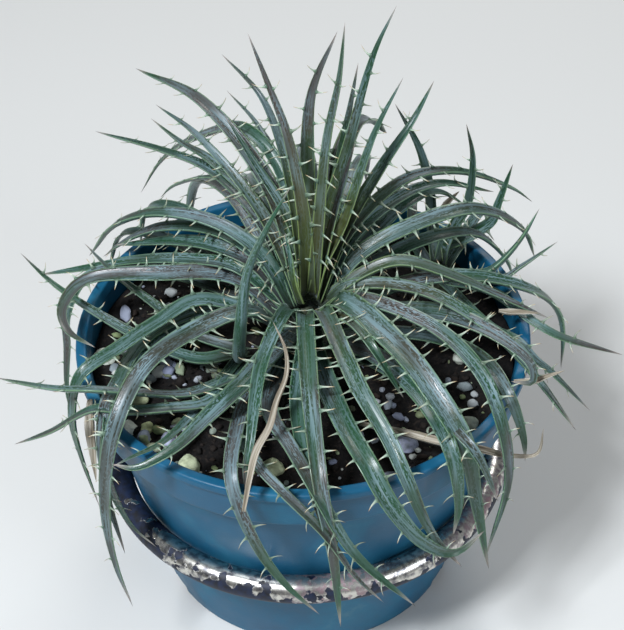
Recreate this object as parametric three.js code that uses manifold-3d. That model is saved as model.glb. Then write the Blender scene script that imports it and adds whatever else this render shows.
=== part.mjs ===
// A potted dyckia: a clump of spiny rosettes in a plastic azalea pot, with a
// worn tube ring round the pot. Millimetres, +Z up. The origin is the middle of
// the pot's foot, +X is to the right of the front and +Y points to the back.
import * as THREE from "three";
import { mergeVertices } from "three/addons/utils/BufferGeometryUtils.js";
import Module from "manifold-3d";

const wasm = await Module();
wasm.setup();

// ---------------------------------------------------------------- dimensions
const GAP = 0.3; // clearance between pieces that touch
const ROUND = 2 * Math.PI;

// Pot: a 150 mm azalea pot, thin wall, with a deep collar under a rolled lip.
const POT_HEIGHT = 100;
const POT_FOOT_RADIUS = 53;
const POT_WALL_TOP_RADIUS = 68.5; // wall radius where it meets the collar
const COLLAR_BOTTOM = 84;
const COLLAR_RADIUS = 72.5;
const RIM_RADIUS = 75;
const LIP_HEIGHT = 3.5;
const POT_WALL = 2;
const POT_FLOOR = 2.5;
const FOOT_BEVEL = 1.5;
const LIP_ROUND = 1; // rounding of the lip's edges
const POT_SIDES = 40;
const DRAIN_SLOTS = 6;
const DRAIN_WIDTH = 9;
const DRAIN_HEIGHT = 4;
const DRAIN_DEPTH = 6;
const DRAIN_INSET = 1; // from the foot's edge to the middle of a slot's depth

// Ring: a steel tube hoop, wedged on the taper of the pot.
const RING_HEIGHT = 46; // of its centre line
const RING_TUBE_RADIUS = 4.6;
const RING_AROUND = 36;
const RING_SIDES = 8;

// Soil and gravel.
const SOIL_LEVEL = 90;
const SOIL_CLEARANCE = 0.6; // from the pot's wall
const SOIL_RINGS = 7;
const SOIL_SECTORS = 24;
const HUMPS = { height: 0.8, alongX: 0.31, alongY: 0.27 }; // waves in radians a mm
const RIPPLES = { height: 0.6, alongX: 0.7, alongY: -0.55 };
const STONE_TILT = 0.4; // radians
const STONE_LIFT = 0.2; // of its height, above the soil's surface
const STEM_BOTTOM = 78;
const STEM_SIDES = 10;
const STEM_STRAIGHT = 6; // straight part, above the soil
const STEM_TOP = 0.6; // radius halfway up the heart, of the stem's radius
const STEM_DOME = 4; // rise of the heart, the stem's end, above the crown

// Leaves.
const LEAF_STATIONS = 6; // a spine stands between each two, but not the first
const CHANNEL_DEPTH = 0.16; // of the leaf's width
const LEAF_THICKNESS = 0.24; // of the leaf's width
const LEAST_THICKNESS = 0.7;
const LEAF_TAPER = 0.15; // loss of width along the blade
const UPRIGHT_TIP_POWER = 2; // how late the blade draws in to its tip
const HANGING_TIP_POWER = 3.4; // a leaf that hangs keeps its width for longer
const FULL_HANG = 20; // mm from its highest point down to its tip
const TIP_FINENESS = 0.8; // over 0.5 gives a hollow, drawn-out tip
const ROOT_OUT = 0.75; // of the stem's radius, for the outermost leaf
const ROOT_CLOSING = 0.8; // how much nearer the axis the innermost root is
const SPINE_LENGTH = 4.6;
const SPINE_WIDTH = 1.6;
const SPINE_TAPER = 0.5; // loss of a spine's size along the leaf
const SPINE_RISE = 0.12; // of its length, up from the margin
const SPINE_ROOT_DEPTH = 0.7; // of half the leaf's width
const SPINE_THICKNESS = 0.55; // of the leaf's thickness at the spine's root
const SPINE_LEAN = 0.35; // how far a spine leans along the leaf

// ---------------------------------------------------------------- the leaves
// Each leaf is its greatest width, then the points that its midrib passes
// through, the tip last. A point is [heading in degrees anticlockwise from +X,
// distance out from the rosette's axis, height above the ground]. The leaves of
// a rosette are listed from the outermost, lowest root to the innermost.
const MAIN_ROSETTE = {
  name: "rosette_main",
  axis: [2, -2],
  crown: 114,
  rootSpread: 13, // height between the lowest and the highest leaf roots
  stemRadius: 11,
  leaves: [
    // low leaves over the front rim
    [7, [318, 27, 106], [307, 58, 112], [303, 76, 108], [303, 81, 90], [302, 81, 76]],
    [6, [350, 40, 103], [336, 60, 108], [327, 73, 107], [327, 79, 92], [328, 80, 80]],
    [5, [314, 43, 106], [307, 71, 111], [307, 81, 108], [311, 86, 87]],
    [5, [240, 36, 104], [248, 60, 110], [252, 76, 107], [258, 82, 88], [264, 82, 70], [271, 83, 57]],
    [4.5, [245, 51, 105], [257, 69, 108], [264, 77, 106], [272, 82, 95], [279, 84, 74], [284, 87, 64]],
    [5.5, [250, 31, 107], [256, 50, 111], [265, 64, 111], [271, 76, 106], [278, 83, 86], [290, 90, 62]],
    // low leaves over the left rim
    [7, [211, 20, 119], [215, 41, 124], [216, 62, 120], [221, 79, 108], [221, 86, 78],
      [223, 87, 52], [227, 87, 38]],
    [5, [169, 25, 108], [186, 52, 105], [203, 66, 104], [214, 76, 108], [217, 81, 91],
      [219, 76, 60], [225, 72, 52]],
    [5, [175, 24, 108], [187, 48, 105], [208, 69, 103], [219, 79, 106], [219, 83, 85], [222, 82, 54]],
    [6, [178, 35, 114], [188, 49, 112], [196, 62, 111], [200, 77, 107], [201, 82, 92],
      [201, 81, 70], [206, 79, 54]],
    [5, [151, 48, 105], [155, 71, 105], [162, 80, 104], [170, 83, 98], [172, 84, 84],
      [175, 85, 68], [177, 84, 56]],
    [7.5, [153, 27, 114], [167, 50, 117], [171, 75, 114], [180, 80, 112], [186, 78, 110], [195, 70, 111]],
    // low leaves over the right rim and behind
    [6.5, [10, 25, 114], [8, 50, 117], [10, 73, 107], [14, 88, 90], [15, 93, 74], [13, 92, 60]],
    [9, [352, 30, 112], [347, 47, 115], [342, 64, 113], [337, 75, 110], [333, 77, 108], [331, 71, 108]],
    [6, [36, 20, 114], [27, 44, 122], [26, 63, 118], [25, 75, 104], [26, 80, 92]],
    [6.5, [60, 30, 108], [62, 55, 114], [64, 80, 108], [66, 92, 92]],
    [6.5, [84, 30, 110], [82, 58, 116], [80, 84, 106], [79, 94, 88]],
    [6.5, [108, 32, 112], [106, 62, 116], [105, 86, 104], [104, 94, 88]],
    [6, [143, 28, 108], [143, 56, 112], [144, 80, 106], [145, 88, 86]],
    [6.5, [131, 30, 110], [132, 58, 116], [133, 83, 107], [133, 91, 84]],
    [6, [96, 20, 110], [97, 50, 110], [95, 78, 106], [94, 89, 90], [95, 90, 72]],
    [6.5, [119, 24, 114], [118, 52, 121], [118, 82, 110], [118, 94, 88], [119, 95, 68]],
    [6.5, [71, 24, 116], [73, 50, 123], [74, 78, 117], [76, 93, 94]],
    [6.5, [90, 26, 118], [91, 52, 126], [90, 82, 116], [88, 98, 92], [88, 100, 76]],
    // middle leaves
    [7.5, [274, 20, 110], [280, 58, 114], [283, 74, 112], [286, 83, 103], [292, 88, 88],
      [299, 89, 79], [305, 90, 84]],
    [8, [242, 26, 112], [243, 46, 116], [240, 62, 115], [237, 74, 111], [232, 84, 107], [227, 87, 106]],
    [5.5, [152, 26, 118], [154, 45, 116], [155, 64, 110], [156, 82, 102], [157, 103, 93]],
    [7, [140, 22, 118], [146, 36, 121], [147, 52, 117], [148, 68, 110], [150, 77, 107]],
    [6, [136, 22, 120], [142, 37, 125], [147, 59, 120], [148, 77, 106], [149, 84, 98]],
    [6, [145, 18, 125], [148, 34, 132], [150, 55, 130], [150, 75, 118], [148, 92, 94]],
    [5, [43, 30, 124], [42, 48, 129], [43, 63, 124], [40, 74, 113]],
    [5.5, [266, 24, 114], [265, 45, 113], [267, 59, 110], [270, 75, 106], [272, 80, 93]],
    [6, [334, 14, 120], [330, 45, 121], [323, 65, 117], [319, 76, 108], [318, 82, 86], [313, 81, 54]],
    [6, [45, 18, 127], [43, 43, 133], [40, 60, 131], [36, 80, 120]],
    [5, [122, 28, 128], [124, 57, 132], [127, 87, 126], [130, 120, 118]],
    [5.5, [121, 28, 132], [127, 53, 140], [128, 69, 139], [129, 84, 141]],
    [4, [119, 35, 127], [120, 52, 129], [122, 69, 121], [124, 86, 108], [125, 94, 98]],
    [5, [105, 30, 144], [114, 47, 151], [119, 75, 134], [122, 102, 108], [124, 113, 88]],
    [5, [240, 12, 120], [249, 40, 122], [252, 53, 119], [254, 65, 113], [254, 71, 106], [255, 74, 98]],
    [8.5, [320, 12, 121], [309, 44, 123], [307, 63, 118], [307, 76, 108], [309, 80, 84], [310, 86, 56]],
    [6, [265, 12, 119], [270, 48, 118], [271, 63, 114], [272, 76, 106], [274, 84, 85], [275, 89, 58]],
    [6, [290, 12, 120], [287, 36, 121], [287, 50, 120], [290, 67, 113], [291, 77, 106],
      [295, 84, 86], [300, 90, 72]],
    [6.5, [30, 18, 124], [23, 35, 132], [22, 58, 133], [26, 83, 112], [27, 90, 95]],
    [5, [46, 18, 130], [43, 44, 139], [39, 64, 135], [36, 89, 118], [35, 98, 108]],
    [5.5, [357, 13, 120], [353, 36, 121], [346, 60, 112], [342, 77, 98], [340, 91, 82]],
    // upright inner leaves
    [7, [112, 20, 134], [118, 35, 147], [124, 61, 158], [126, 99, 152]],
    [5, [126, 14, 126], [131, 26, 140], [132, 52, 152], [131, 76, 152]],
    [4, [102, 40, 138], [107, 54, 147], [112, 70, 152]],
    [4.5, [104, 12, 130], [113, 19, 138], [120, 29, 147], [124, 46, 160]],
    [5.5, [8, 18, 123], [6, 30, 127], [3, 50, 119], [1, 79, 102]],
    [4.5, [302, 25, 123], [301, 38, 122], [305, 50, 108]],
    [8, [68, 16, 132], [67, 28, 150], [66, 40, 157], [65, 52, 152], [64, 64, 138]],
    [6, [46, 14, 130], [41, 31, 150], [38, 43, 164], [42, 56, 172]],
    [5, [68, 20, 135], [66, 28, 152], [66, 43, 178]],
    [5, [62, 12, 136], [52, 20, 158], [49, 33, 190], [47, 42, 203]],
    [6.5, [92, 13, 130], [88, 15, 151], [82, 18, 181], [64, 24, 200]],
    [4.5, [104, 14, 140], [110, 21, 160], [116, 30, 174], [121, 50, 180]],
    [5, [50, 5, 136], [43, 9, 172], [37, 13, 192], [39, 16, 210]],
    [4, [38, 8, 134], [43, 15, 150], [39, 20, 166]],
    [3.5, [200, 4, 122], [175, 5, 132], [165, 7, 140]],
    [5, [92, 4, 126], [100, 6, 145], [115, 13, 171], [118, 24, 184], [120, 33, 196]],
    [4.5, [39, 5, 124], [29, 13, 140], [37, 27, 167], [38, 39, 182]],
  ],
};

const LEFT_ROSETTE = {
  name: "rosette_left",
  axis: [-20, -8],
  crown: 99,
  rootSpread: 4,
  stemRadius: 4.5,
  leaves: [
    [5.5, [258, 12, 98], [236, 30, 103], [224, 43, 109], [216, 55, 113], [207, 63, 110], [188, 80, 98]],
    [5.5, [251, 29, 102], [236, 40, 105], [226, 50, 107], [219, 57, 108], [211, 69, 98], [205, 79, 90]],
    [4, [246, 20, 99], [243, 50, 102], [239, 62, 104], [236, 68, 103]],
    [5.5, [191, 14, 97], [179, 27, 100], [166, 48, 104], [157, 71, 106], [157, 81, 115]],
    [4.5, [162, 17, 101], [150, 34, 104], [147, 51, 108], [143, 68, 111]],
    [4.5, [268, 12, 106], [273, 19, 124], [282, 21, 148], [295, 24, 164], [312, 27, 179]],
  ],
};

const RIGHT_ROSETTE = {
  name: "rosette_right",
  axis: [47, 31],
  crown: 100,
  rootSpread: 5,
  stemRadius: 6,
  leaves: [
    [4.5, [314, 24, 102], [309, 46, 104], [312, 54, 102], [325, 71, 93]],
    [4, [293, 38, 102], [297, 49, 104], [299, 58, 101], [303, 61, 96], [310, 72, 82]],
    [5, [126, 12, 102], [105, 27, 108], [94, 39, 102]],
    [5, [44, 10, 102], [49, 26, 108], [45, 40, 96]],
    [5.5, [326, 18, 105], [344, 25, 112], [356, 33, 125]],
    [3.5, [329, 24, 104], [336, 29, 108], [347, 40, 116]],
    [5.5, [68, 5, 104], [31, 13, 107], [21, 20, 113], [22, 22, 119], [26, 28, 133]],
    [4.5, [56, 4, 106], [36, 7, 114], [23, 10, 122], [29, 12, 140], [44, 11, 153]],
    [4.5, [101, 5, 106], [101, 10, 114], [105, 11, 124], [120, 13, 140], [144, 19, 159]],
  ],
};

const ROSETTES = [MAIN_ROSETTE, LEFT_ROSETTE, RIGHT_ROSETTE];

// ---------------------------------------------------------------- the colours
const finish = (color, roughness, metalness = 0) =>
  new THREE.MeshStandardMaterial({ color, roughness, metalness });
const POT_PLASTIC = finish("#3a6480", 0.5);
const WORN_CHROME = finish("#a9a7ab", 0.35, 0.8);
const POTTING_SOIL = finish("#1c1714", 0.95);
const GRAVEL = finish("#c3c4ba", 0.85);
const LEAF_SKIN = finish("#567367", 0.5);
const DRY_LEAF = finish("#cdb89a", 0.8);

// ------------------------------------------------------------ solids and joins
// A geometry as a manifold-3d solid, and a solid as a named mesh.
function solidOf(geometry) {
  const bare = geometry.index ? geometry.clone() : geometry;
  bare.deleteAttribute("normal");
  bare.deleteAttribute("uv");
  const merged = mergeVertices(bare, 1e-4);
  return new wasm.Manifold(
    new wasm.Mesh({
      numProp: 3,
      vertProperties: merged.attributes.position.array,
      triVerts: new Uint32Array(merged.index.array),
    }),
  );
}

function meshOf(solid, name, material) {
  const made = solid.getMesh();
  const geometry = new THREE.BufferGeometry();
  geometry.setAttribute("position", new THREE.BufferAttribute(made.vertProperties, 3));
  geometry.setIndex(new THREE.BufferAttribute(made.triVerts, 1));
  const mesh = new THREE.Mesh(geometry, material);
  mesh.name = name;
  return mesh;
}

function joined(solids) {
  return solids.reduce((sum, solid) => sum.add(solid));
}

// A closed skin through rings of points. The first ring is capped, and the last
// ring closes on the end point. Corners of a ring run clockwise as seen from
// the end, so the faces point out.
function skinOf(rings, end) {
  const sides = rings[0].length;
  const points = [...rings.flat(), end];
  const faces = [];
  for (let i = 2; i < sides; i++) faces.push(0, i - 1, i);
  for (let r = 0; r + 1 < rings.length; r++) {
    for (let s = 0; s < sides; s++) {
      const a = r * sides + s;
      const b = r * sides + ((s + 1) % sides);
      faces.push(a, a + sides, b, b, a + sides, b + sides);
    }
  }
  const last = (rings.length - 1) * sides;
  for (let s = 0; s < sides; s++) {
    faces.push(last + s, points.length - 1, last + ((s + 1) % sides));
  }
  const geometry = new THREE.BufferGeometry().setFromPoints(points);
  geometry.setIndex(faces);
  return solidOf(geometry);
}

// ------------------------------------------------------------------ one leaf
const fromPolar = ([cx, cy], heading, out, height) => {
  const angle = THREE.MathUtils.degToRad(heading);
  return new THREE.Vector3(
    cx + out * Math.cos(angle),
    cy + out * Math.sin(angle),
    height,
  );
};

// The midrib runs from the crown, through the leaf's points, to its tip.
function midribOf(rosette, points, rank) {
  const rootHeight = rosette.crown - rosette.rootSpread * (1 - rank);
  const rootOut = rosette.stemRadius * ROOT_OUT * (1 - ROOT_CLOSING * rank);
  const root = fromPolar(rosette.axis, points[0][0], rootOut, rootHeight);
  const through = points.map((p) => fromPolar(rosette.axis, ...p));
  return new THREE.CatmullRomCurve3([root, ...through], false, "centripetal");
}

function tipPowerOf(points) {
  const heights = points.map((point) => point[2]);
  const hang = Math.min((Math.max(...heights) - heights.at(-1)) / FULL_HANG, 1);
  return UPRIGHT_TIP_POWER + (HANGING_TIP_POWER - UPRIGHT_TIP_POWER) * hang;
}

// Half the leaf's width at a fraction of its length: nearly even along the
// blade, then drawn out to the tip.
function halfWidthAt(t, width, tipPower) {
  return (width / 2) * (1 - t ** tipPower) ** TIP_FINENESS * (1 - LEAF_TAPER * t);
}

// Places along the leaf, closer together where its points are, each with its
// position and its axes: along the midrib, sideways to the left margin, and up
// out of the channel.
function stationsOf(midrib, width, heading, tipPower = UPRIGHT_TIP_POWER) {
  const angle = THREE.MathUtils.degToRad(heading);
  let side = new THREE.Vector3(-Math.sin(angle), Math.cos(angle), 0);
  const lengths = midrib.getLengths(LEAF_STATIONS);
  return lengths.map((length, i) => {
    const at = midrib.getPoint(i / LEAF_STATIONS);
    const along = midrib.getTangent(i / LEAF_STATIONS);
    side = side.clone().addScaledVector(along, -side.dot(along)).normalize();
    const up = new THREE.Vector3().crossVectors(along, side);
    const t = length / lengths.at(-1);
    return { t, at, along, side, up, half: halfWidthAt(t, width, tipPower) };
  });
}

// The place halfway between two stations, on the flat faces that join them.
function between(a, b) {
  const mid = (key) => a[key].clone().lerp(b[key], 0.5);
  return {
    t: (a.t + b.t) / 2,
    at: mid("at"),
    along: b.at.clone().sub(a.at).normalize(),
    side: mid("side").normalize(),
    up: mid("up").normalize(),
    half: (a.half + b.half) / 2,
  };
}

// How deep the channel and the keel lie under the margins.
function depthsAt(half) {
  const channel = 2 * half * CHANNEL_DEPTH;
  const keel = channel + Math.max(LEAST_THICKNESS, 2 * half * LEAF_THICKNESS);
  return { channel, keel };
}

// The four corners of the channelled section: margin, channel, margin, keel.
function sectionAt({ at, side, up, half }) {
  const { channel, keel } = depthsAt(half);
  return [
    at.clone().addScaledVector(side, -half),
    at.clone().addScaledVector(up, -channel),
    at.clone().addScaledVector(side, half),
    at.clone().addScaledVector(up, -keel),
  ];
}

// A three-sided spine that stands out of one margin, sunk into it at the root.
function spineAt(station, hand, lean) {
  const { at, along, up, half, t } = station;
  const outward = station.side.clone().multiplyScalar(hand);
  const length = SPINE_LENGTH * (1 - SPINE_TAPER * t);
  const width = SPINE_WIDTH * (1 - SPINE_TAPER * t);
  const depth = half * SPINE_ROOT_DEPTH;
  const { channel, keel } = depthsAt(half);
  const middle = ((channel + keel) / 2) * SPINE_ROOT_DEPTH;
  const thickness = (keel - channel) * SPINE_ROOT_DEPTH * SPINE_THICKNESS;
  const root = at
    .clone()
    .addScaledVector(outward, half - depth)
    .addScaledVector(up, -middle);
  const corner = (a, u) =>
    root.clone().addScaledVector(along, a).addScaledVector(up, u);
  const ring = [
    corner(-width / 2, thickness / 2),
    corner(0, -thickness / 2),
    corner(width / 2, thickness / 2),
  ];
  const tip = at
    .clone()
    .addScaledVector(outward, half + length)
    .addScaledVector(along, lean * length)
    .addScaledVector(up, SPINE_RISE * length);
  return skinOf([hand > 0 ? ring : ring.reverse()], tip);
}

function leafOf(rosette, [width, ...points], index) {
  const rank = index / (rosette.leaves.length - 1);
  const midrib = midribOf(rosette, points, rank);
  const stations = stationsOf(midrib, width, points[0][0], tipPowerOf(points));
  const blade = skinOf(stations.slice(0, -1).map(sectionAt), stations.at(-1).at);
  const spines = [];
  for (let i = 1; i < LEAF_STATIONS; i++) {
    const hand = (i + index) % 2 ? 1 : -1;
    const lean = i < LEAF_STATIONS / 2 ? -SPINE_LEAN : SPINE_LEAN;
    spines.push(spineAt(between(stations[i], stations[i + 1]), hand, lean));
  }
  return joined([blade, ...spines]);
}

// ------------------------------------------------------------------ rosettes
function lathe(profile, sides) {
  const points = profile.map(([radius, height]) => new THREE.Vector2(radius, height));
  return new THREE.LatheGeometry(points, sides).rotateX(Math.PI / 2);
}

// The short stem that the leaves clasp, down to its end in the soil. The hole
// for it in the soil is the same shape, a gap wider all round.
function stemOf({ axis, crown, stemRadius }, gap = 0) {
  const profile = [
    [0, STEM_BOTTOM - gap],
    [stemRadius + gap, STEM_BOTTOM - gap],
    [stemRadius + gap, SOIL_LEVEL + STEM_STRAIGHT],
    [stemRadius * STEM_TOP, crown + STEM_DOME / 2],
    [0, crown + STEM_DOME],
  ];
  return solidOf(lathe(profile, STEM_SIDES).translate(axis[0], axis[1], 0));
}

function rosetteOf(rosette) {
  const leaves = rosette.leaves.map((leaf, i) => leafOf(rosette, leaf, i));
  return meshOf(joined([stemOf(rosette), ...leaves]), rosette.name, LEAF_SKIN);
}

// ------------------------------------------------------------------- the pot
const wallRadiusAt = (height) =>
  POT_FOOT_RADIUS +
  ((POT_WALL_TOP_RADIUS - POT_FOOT_RADIUS) * height) / COLLAR_BOTTOM;

function potMesh() {
  const lipBottom = POT_HEIGHT - LIP_HEIGHT;
  const profile = [
    [0, 0],
    [POT_FOOT_RADIUS - FOOT_BEVEL, 0],
    [POT_FOOT_RADIUS, FOOT_BEVEL],
    [POT_WALL_TOP_RADIUS, COLLAR_BOTTOM],
    [COLLAR_RADIUS, COLLAR_BOTTOM],
    [COLLAR_RADIUS + LIP_ROUND, lipBottom],
    [RIM_RADIUS, lipBottom + LIP_ROUND / 2],
    [RIM_RADIUS, POT_HEIGHT - LIP_ROUND],
    [RIM_RADIUS - LIP_ROUND, POT_HEIGHT],
    [COLLAR_RADIUS - POT_WALL + LIP_ROUND, POT_HEIGHT],
    [COLLAR_RADIUS - POT_WALL, lipBottom],
    [COLLAR_RADIUS - POT_WALL, COLLAR_BOTTOM + POT_WALL],
    [POT_WALL_TOP_RADIUS - POT_WALL, COLLAR_BOTTOM - POT_WALL],
    [wallRadiusAt(POT_FLOOR) - POT_WALL, POT_FLOOR],
    [0, POT_FLOOR],
  ];
  let pot = solidOf(lathe(profile, POT_SIDES));
  for (let i = 0; i < DRAIN_SLOTS; i++) {
    const angle = ((i + 0.5) / DRAIN_SLOTS) * ROUND;
    const slot = new THREE.BoxGeometry(DRAIN_DEPTH, DRAIN_WIDTH, DRAIN_HEIGHT)
      .translate(POT_FOOT_RADIUS - DRAIN_INSET, 0, DRAIN_HEIGHT / 2 - GAP)
      .rotateZ(angle);
    pot = pot.subtract(solidOf(slot));
  }
  return meshOf(pot, "pot", POT_PLASTIC);
}

// The hoop sits where its inside meets the taper, a gap's width clear of it.
function ringMesh() {
  const slope = (POT_WALL_TOP_RADIUS - POT_FOOT_RADIUS) / COLLAR_BOTTOM;
  const reach = RING_TUBE_RADIUS * Math.sqrt(1 + slope ** 2);
  const radius = wallRadiusAt(RING_HEIGHT) + reach + GAP;
  const hoop = new THREE.TorusGeometry(radius, RING_TUBE_RADIUS, RING_SIDES, RING_AROUND);
  return meshOf(solidOf(hoop.translate(0, 0, RING_HEIGHT)), "pot_ring", WORN_CHROME);
}

// ------------------------------------------------------------- soil and stones
// Each stone: [x, y, its length, width and height, turn in degrees].
const STONES = [
  [-66, -2, 9, 7, 6, 20],
  [-58, 6, 6, 5, 5, 70],
  [-48, 18, 7, 6, 5, 40],
  [-54, -24, 8, 6, 5, 10],
  [-56, -36, 7, 6, 6, 80],
  [-50, -36, 5, 5, 4, 30],
  [-40, -34, 5, 4, 4, 0],
  [-50, -41, 5, 4, 3, 60],
  [-48, -45, 6, 5, 5, 15],
  [-43, -42, 6, 5, 5, 100],
  [-36, -53, 7, 9, 7, 5],
  [-10, -55, 7, 8, 6, 0],
  [32, -45, 8, 8, 6, 35],
  [51, -38, 8, 7, 6, 10],
  [52, -8, 7, 5, 5, 130],
];

// The height of the crumbly surface at a place.
const wave = ({ height, alongX, alongY }, x, y) => height * Math.sin(alongX * x + alongY * y);
const soilHeight = (x, y) => SOIL_LEVEL + wave(HUMPS, x, y) + wave(RIPPLES, x, y);

function stoneSolid([x, y, length, width, height, turn], gap = 0) {
  const stone = new THREE.IcosahedronGeometry(1, 0).rotateY(STONE_TILT);
  stone.scale(length / 2 + gap, width / 2 + gap, height / 2 + gap);
  stone.rotateZ(THREE.MathUtils.degToRad(turn));
  return solidOf(stone.translate(x, y, soilHeight(x, y) + STONE_LIFT * height));
}

// A ring of points round the soil, level, or on the crumbly surface.
function soilRing(radius, level) {
  const ring = [];
  for (let s = 0; s < SOIL_SECTORS; s++) {
    const angle = -(s / SOIL_SECTORS) * ROUND;
    const x = radius * Math.cos(angle);
    const y = radius * Math.sin(angle);
    ring.push(new THREE.Vector3(x, y, level ?? soilHeight(x, y)));
  }
  return ring;
}

// The soil fills the taper, steps out over the shoulder and fills the collar.
function soilMesh() {
  const inside = (radius) => radius - POT_WALL - SOIL_CLEARANCE;
  const bottom = POT_FLOOR + GAP;
  const shoulder = COLLAR_BOTTOM - POT_WALL - SOIL_CLEARANCE;
  const collar = COLLAR_BOTTOM + POT_WALL + SOIL_CLEARANCE / 2;
  const topRadius = inside(COLLAR_RADIUS);
  const rings = [
    soilRing(inside(wallRadiusAt(bottom)), bottom),
    soilRing(inside(wallRadiusAt(shoulder)), shoulder),
    soilRing(topRadius, collar),
  ];
  for (let r = SOIL_RINGS; r > 0; r--) rings.push(soilRing((topRadius * r) / SOIL_RINGS));
  let soil = skinOf(rings, new THREE.Vector3(0, 0, soilHeight(0, 0)));
  for (const rosette of ROSETTES) soil = soil.subtract(stemOf(rosette, GAP));
  for (const stone of STONES) soil = soil.subtract(stoneSolid(stone, GAP));
  return meshOf(soil, "soil", POTTING_SOIL);
}

const stoneMeshes = () =>
  STONES.map((stone, i) => meshOf(stoneSolid(stone), `stone_${i + 1}`, GRAVEL));

// ------------------------------------------------------------------ dry leaves
// Dead leaves, each by its width and the points x, y, z along its middle.
const DRY_LEAVES = {
  dry_leaf_front: [
    4,
    [-18, -82, 102],
    [-16, -76, 110],
    [-14, -70, 115],
    [-10, -63, 118],
    [-8, -56, 121],
    [-5, -48, 124],
    [-5, -40, 126],
    [-9, -26, 126],
  ],
  dry_leaf_hook: [
    5,
    [17, -45, 100],
    [30, -50, 101],
    [43, -57, 103],
    [53, -60, 103],
    [64, -50, 89],
    [72, -48, 87],
    [73, -51, 102],
  ],
  dry_leaf_right: [4, [66, -32, 104], [72, -32, 104], [77, -31, 105], [82, -30, 106]],
  dry_leaf_stub: [4, [64, -3, 108], [71, -4, 108], [77, -5, 108]],
  dry_leaf_back: [4, [49, 48, 111], [52, 51, 112], [56, 55, 113]],
  dry_leaf_left: [6, [-67, -36, 103], [-68, -38, 93], [-68, -39, 83], [-68, -40, 70]],
};

function dryLeafMesh(name, [width, ...points]) {
  const curve = new THREE.CatmullRomCurve3(
    points.map((p) => new THREE.Vector3(...p)),
    false,
    "centripetal",
  );
  const first = curve.getTangentAt(0);
  const heading = THREE.MathUtils.radToDeg(Math.atan2(first.y, first.x));
  const stations = stationsOf(curve, width, heading);
  const blade = skinOf(stations.slice(0, -1).map(sectionAt), stations.at(-1).at);
  return meshOf(blade, name, DRY_LEAF);
}

// ---------------------------------------------------------------- the assembly
const plant = new THREE.Group();
plant.add(potMesh(), ringMesh(), soilMesh(), ...stoneMeshes());
plant.add(...ROSETTES.map(rosetteOf));
for (const [name, leaf] of Object.entries(DRY_LEAVES)) plant.add(dryLeafMesh(name, leaf));

export default plant;
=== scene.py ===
# %% [markdown]
# # A potted dyckia
# A dyckia is a bromeliad with stiff, channelled leaves and a hooked spine every
# few millimetres along both margins. This lesson dresses a solid model of one,
# in its plastic pot, with leaves, spines, soil and finishes.
#
# The solid model is loaded first and never moved. A new piece either stands for
# one of its nodes or adds what the node is too coarse to hold.

# %% Load the solid model
import math
import random

import bmesh
import bpy
import numpy as np
from mathutils import Matrix, Vector, noise


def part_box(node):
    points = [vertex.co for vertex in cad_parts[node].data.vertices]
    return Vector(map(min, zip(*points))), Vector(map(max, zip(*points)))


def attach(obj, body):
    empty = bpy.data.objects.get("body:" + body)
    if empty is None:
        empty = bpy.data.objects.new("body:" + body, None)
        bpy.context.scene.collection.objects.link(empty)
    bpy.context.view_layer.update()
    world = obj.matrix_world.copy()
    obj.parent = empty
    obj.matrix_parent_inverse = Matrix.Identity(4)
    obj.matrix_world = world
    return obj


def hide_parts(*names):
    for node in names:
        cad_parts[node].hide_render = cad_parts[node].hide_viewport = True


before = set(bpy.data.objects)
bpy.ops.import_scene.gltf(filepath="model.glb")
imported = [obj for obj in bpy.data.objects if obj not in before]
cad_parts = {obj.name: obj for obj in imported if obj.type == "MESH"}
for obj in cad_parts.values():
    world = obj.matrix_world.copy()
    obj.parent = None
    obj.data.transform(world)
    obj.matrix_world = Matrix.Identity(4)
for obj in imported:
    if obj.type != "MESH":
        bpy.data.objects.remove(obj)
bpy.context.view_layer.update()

BODY = "root"
MM = 0.001  # the sizes below are in millimetres, Blender's are in metres

# %% [markdown]
# ## Camera
# The camera looks at the front of the pot from well above the rim, with a long
# lens, so the rim is a clear ellipse and the sides hardly converge. It is
# placed by the point that it looks at, its height angle and its distance, and
# rolled slightly, as a camera held in the hand would be.

# %% Camera
VIEW_TARGET = Vector((3.1, 0, 105)) * MM
VIEW_ELEVATION = math.radians(41.5)
VIEW_DISTANCE = 500 * MM
VIEW_ROLL = math.radians(-1.27)
LENS = 86.9  # mm, on the 36 mm sensor

lens_data = bpy.data.cameras.new("camera")
lens_data.lens = LENS
camera = bpy.data.objects.new("camera", lens_data)
bpy.context.scene.collection.objects.link(camera)
tilt = Matrix.Rotation(math.pi / 2 - VIEW_ELEVATION, 4, "X") @ Matrix.Rotation(VIEW_ROLL, 4, "Z")
camera.matrix_world = Matrix.Translation(VIEW_TARGET) @ tilt @ Matrix.Translation((0, 0, VIEW_DISTANCE))
bpy.context.scene.camera = camera
print("camera at, mm:", [round(v / MM) for v in camera.matrix_world.translation])

# %% [markdown]
# ## Colours and nodes
# Colours are easiest to pick as the hex values of a paint program, but a shader
# works with linear light, so one function converts them. Another adds a shader
# node: its settings, its ramp and what feeds each input are given in one call,
# and the tree then reads from top to bottom.

# %% Colour and node helpers
def linear(hex_colour):
    """The linear RGBA value of a hex colour."""
    channels = [int(hex_colour[i : i + 2], 16) / 255 for i in (1, 3, 5)]
    lit = [c / 12.92 if c <= 0.04045 else ((c + 0.055) / 1.055) ** 2.4 for c in channels]
    return (*lit, 1.0)


def value_of(given):
    """What a socket takes: a hex colour as linear light, anything else as it is."""
    return linear(given) if isinstance(given, str) else given


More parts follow.
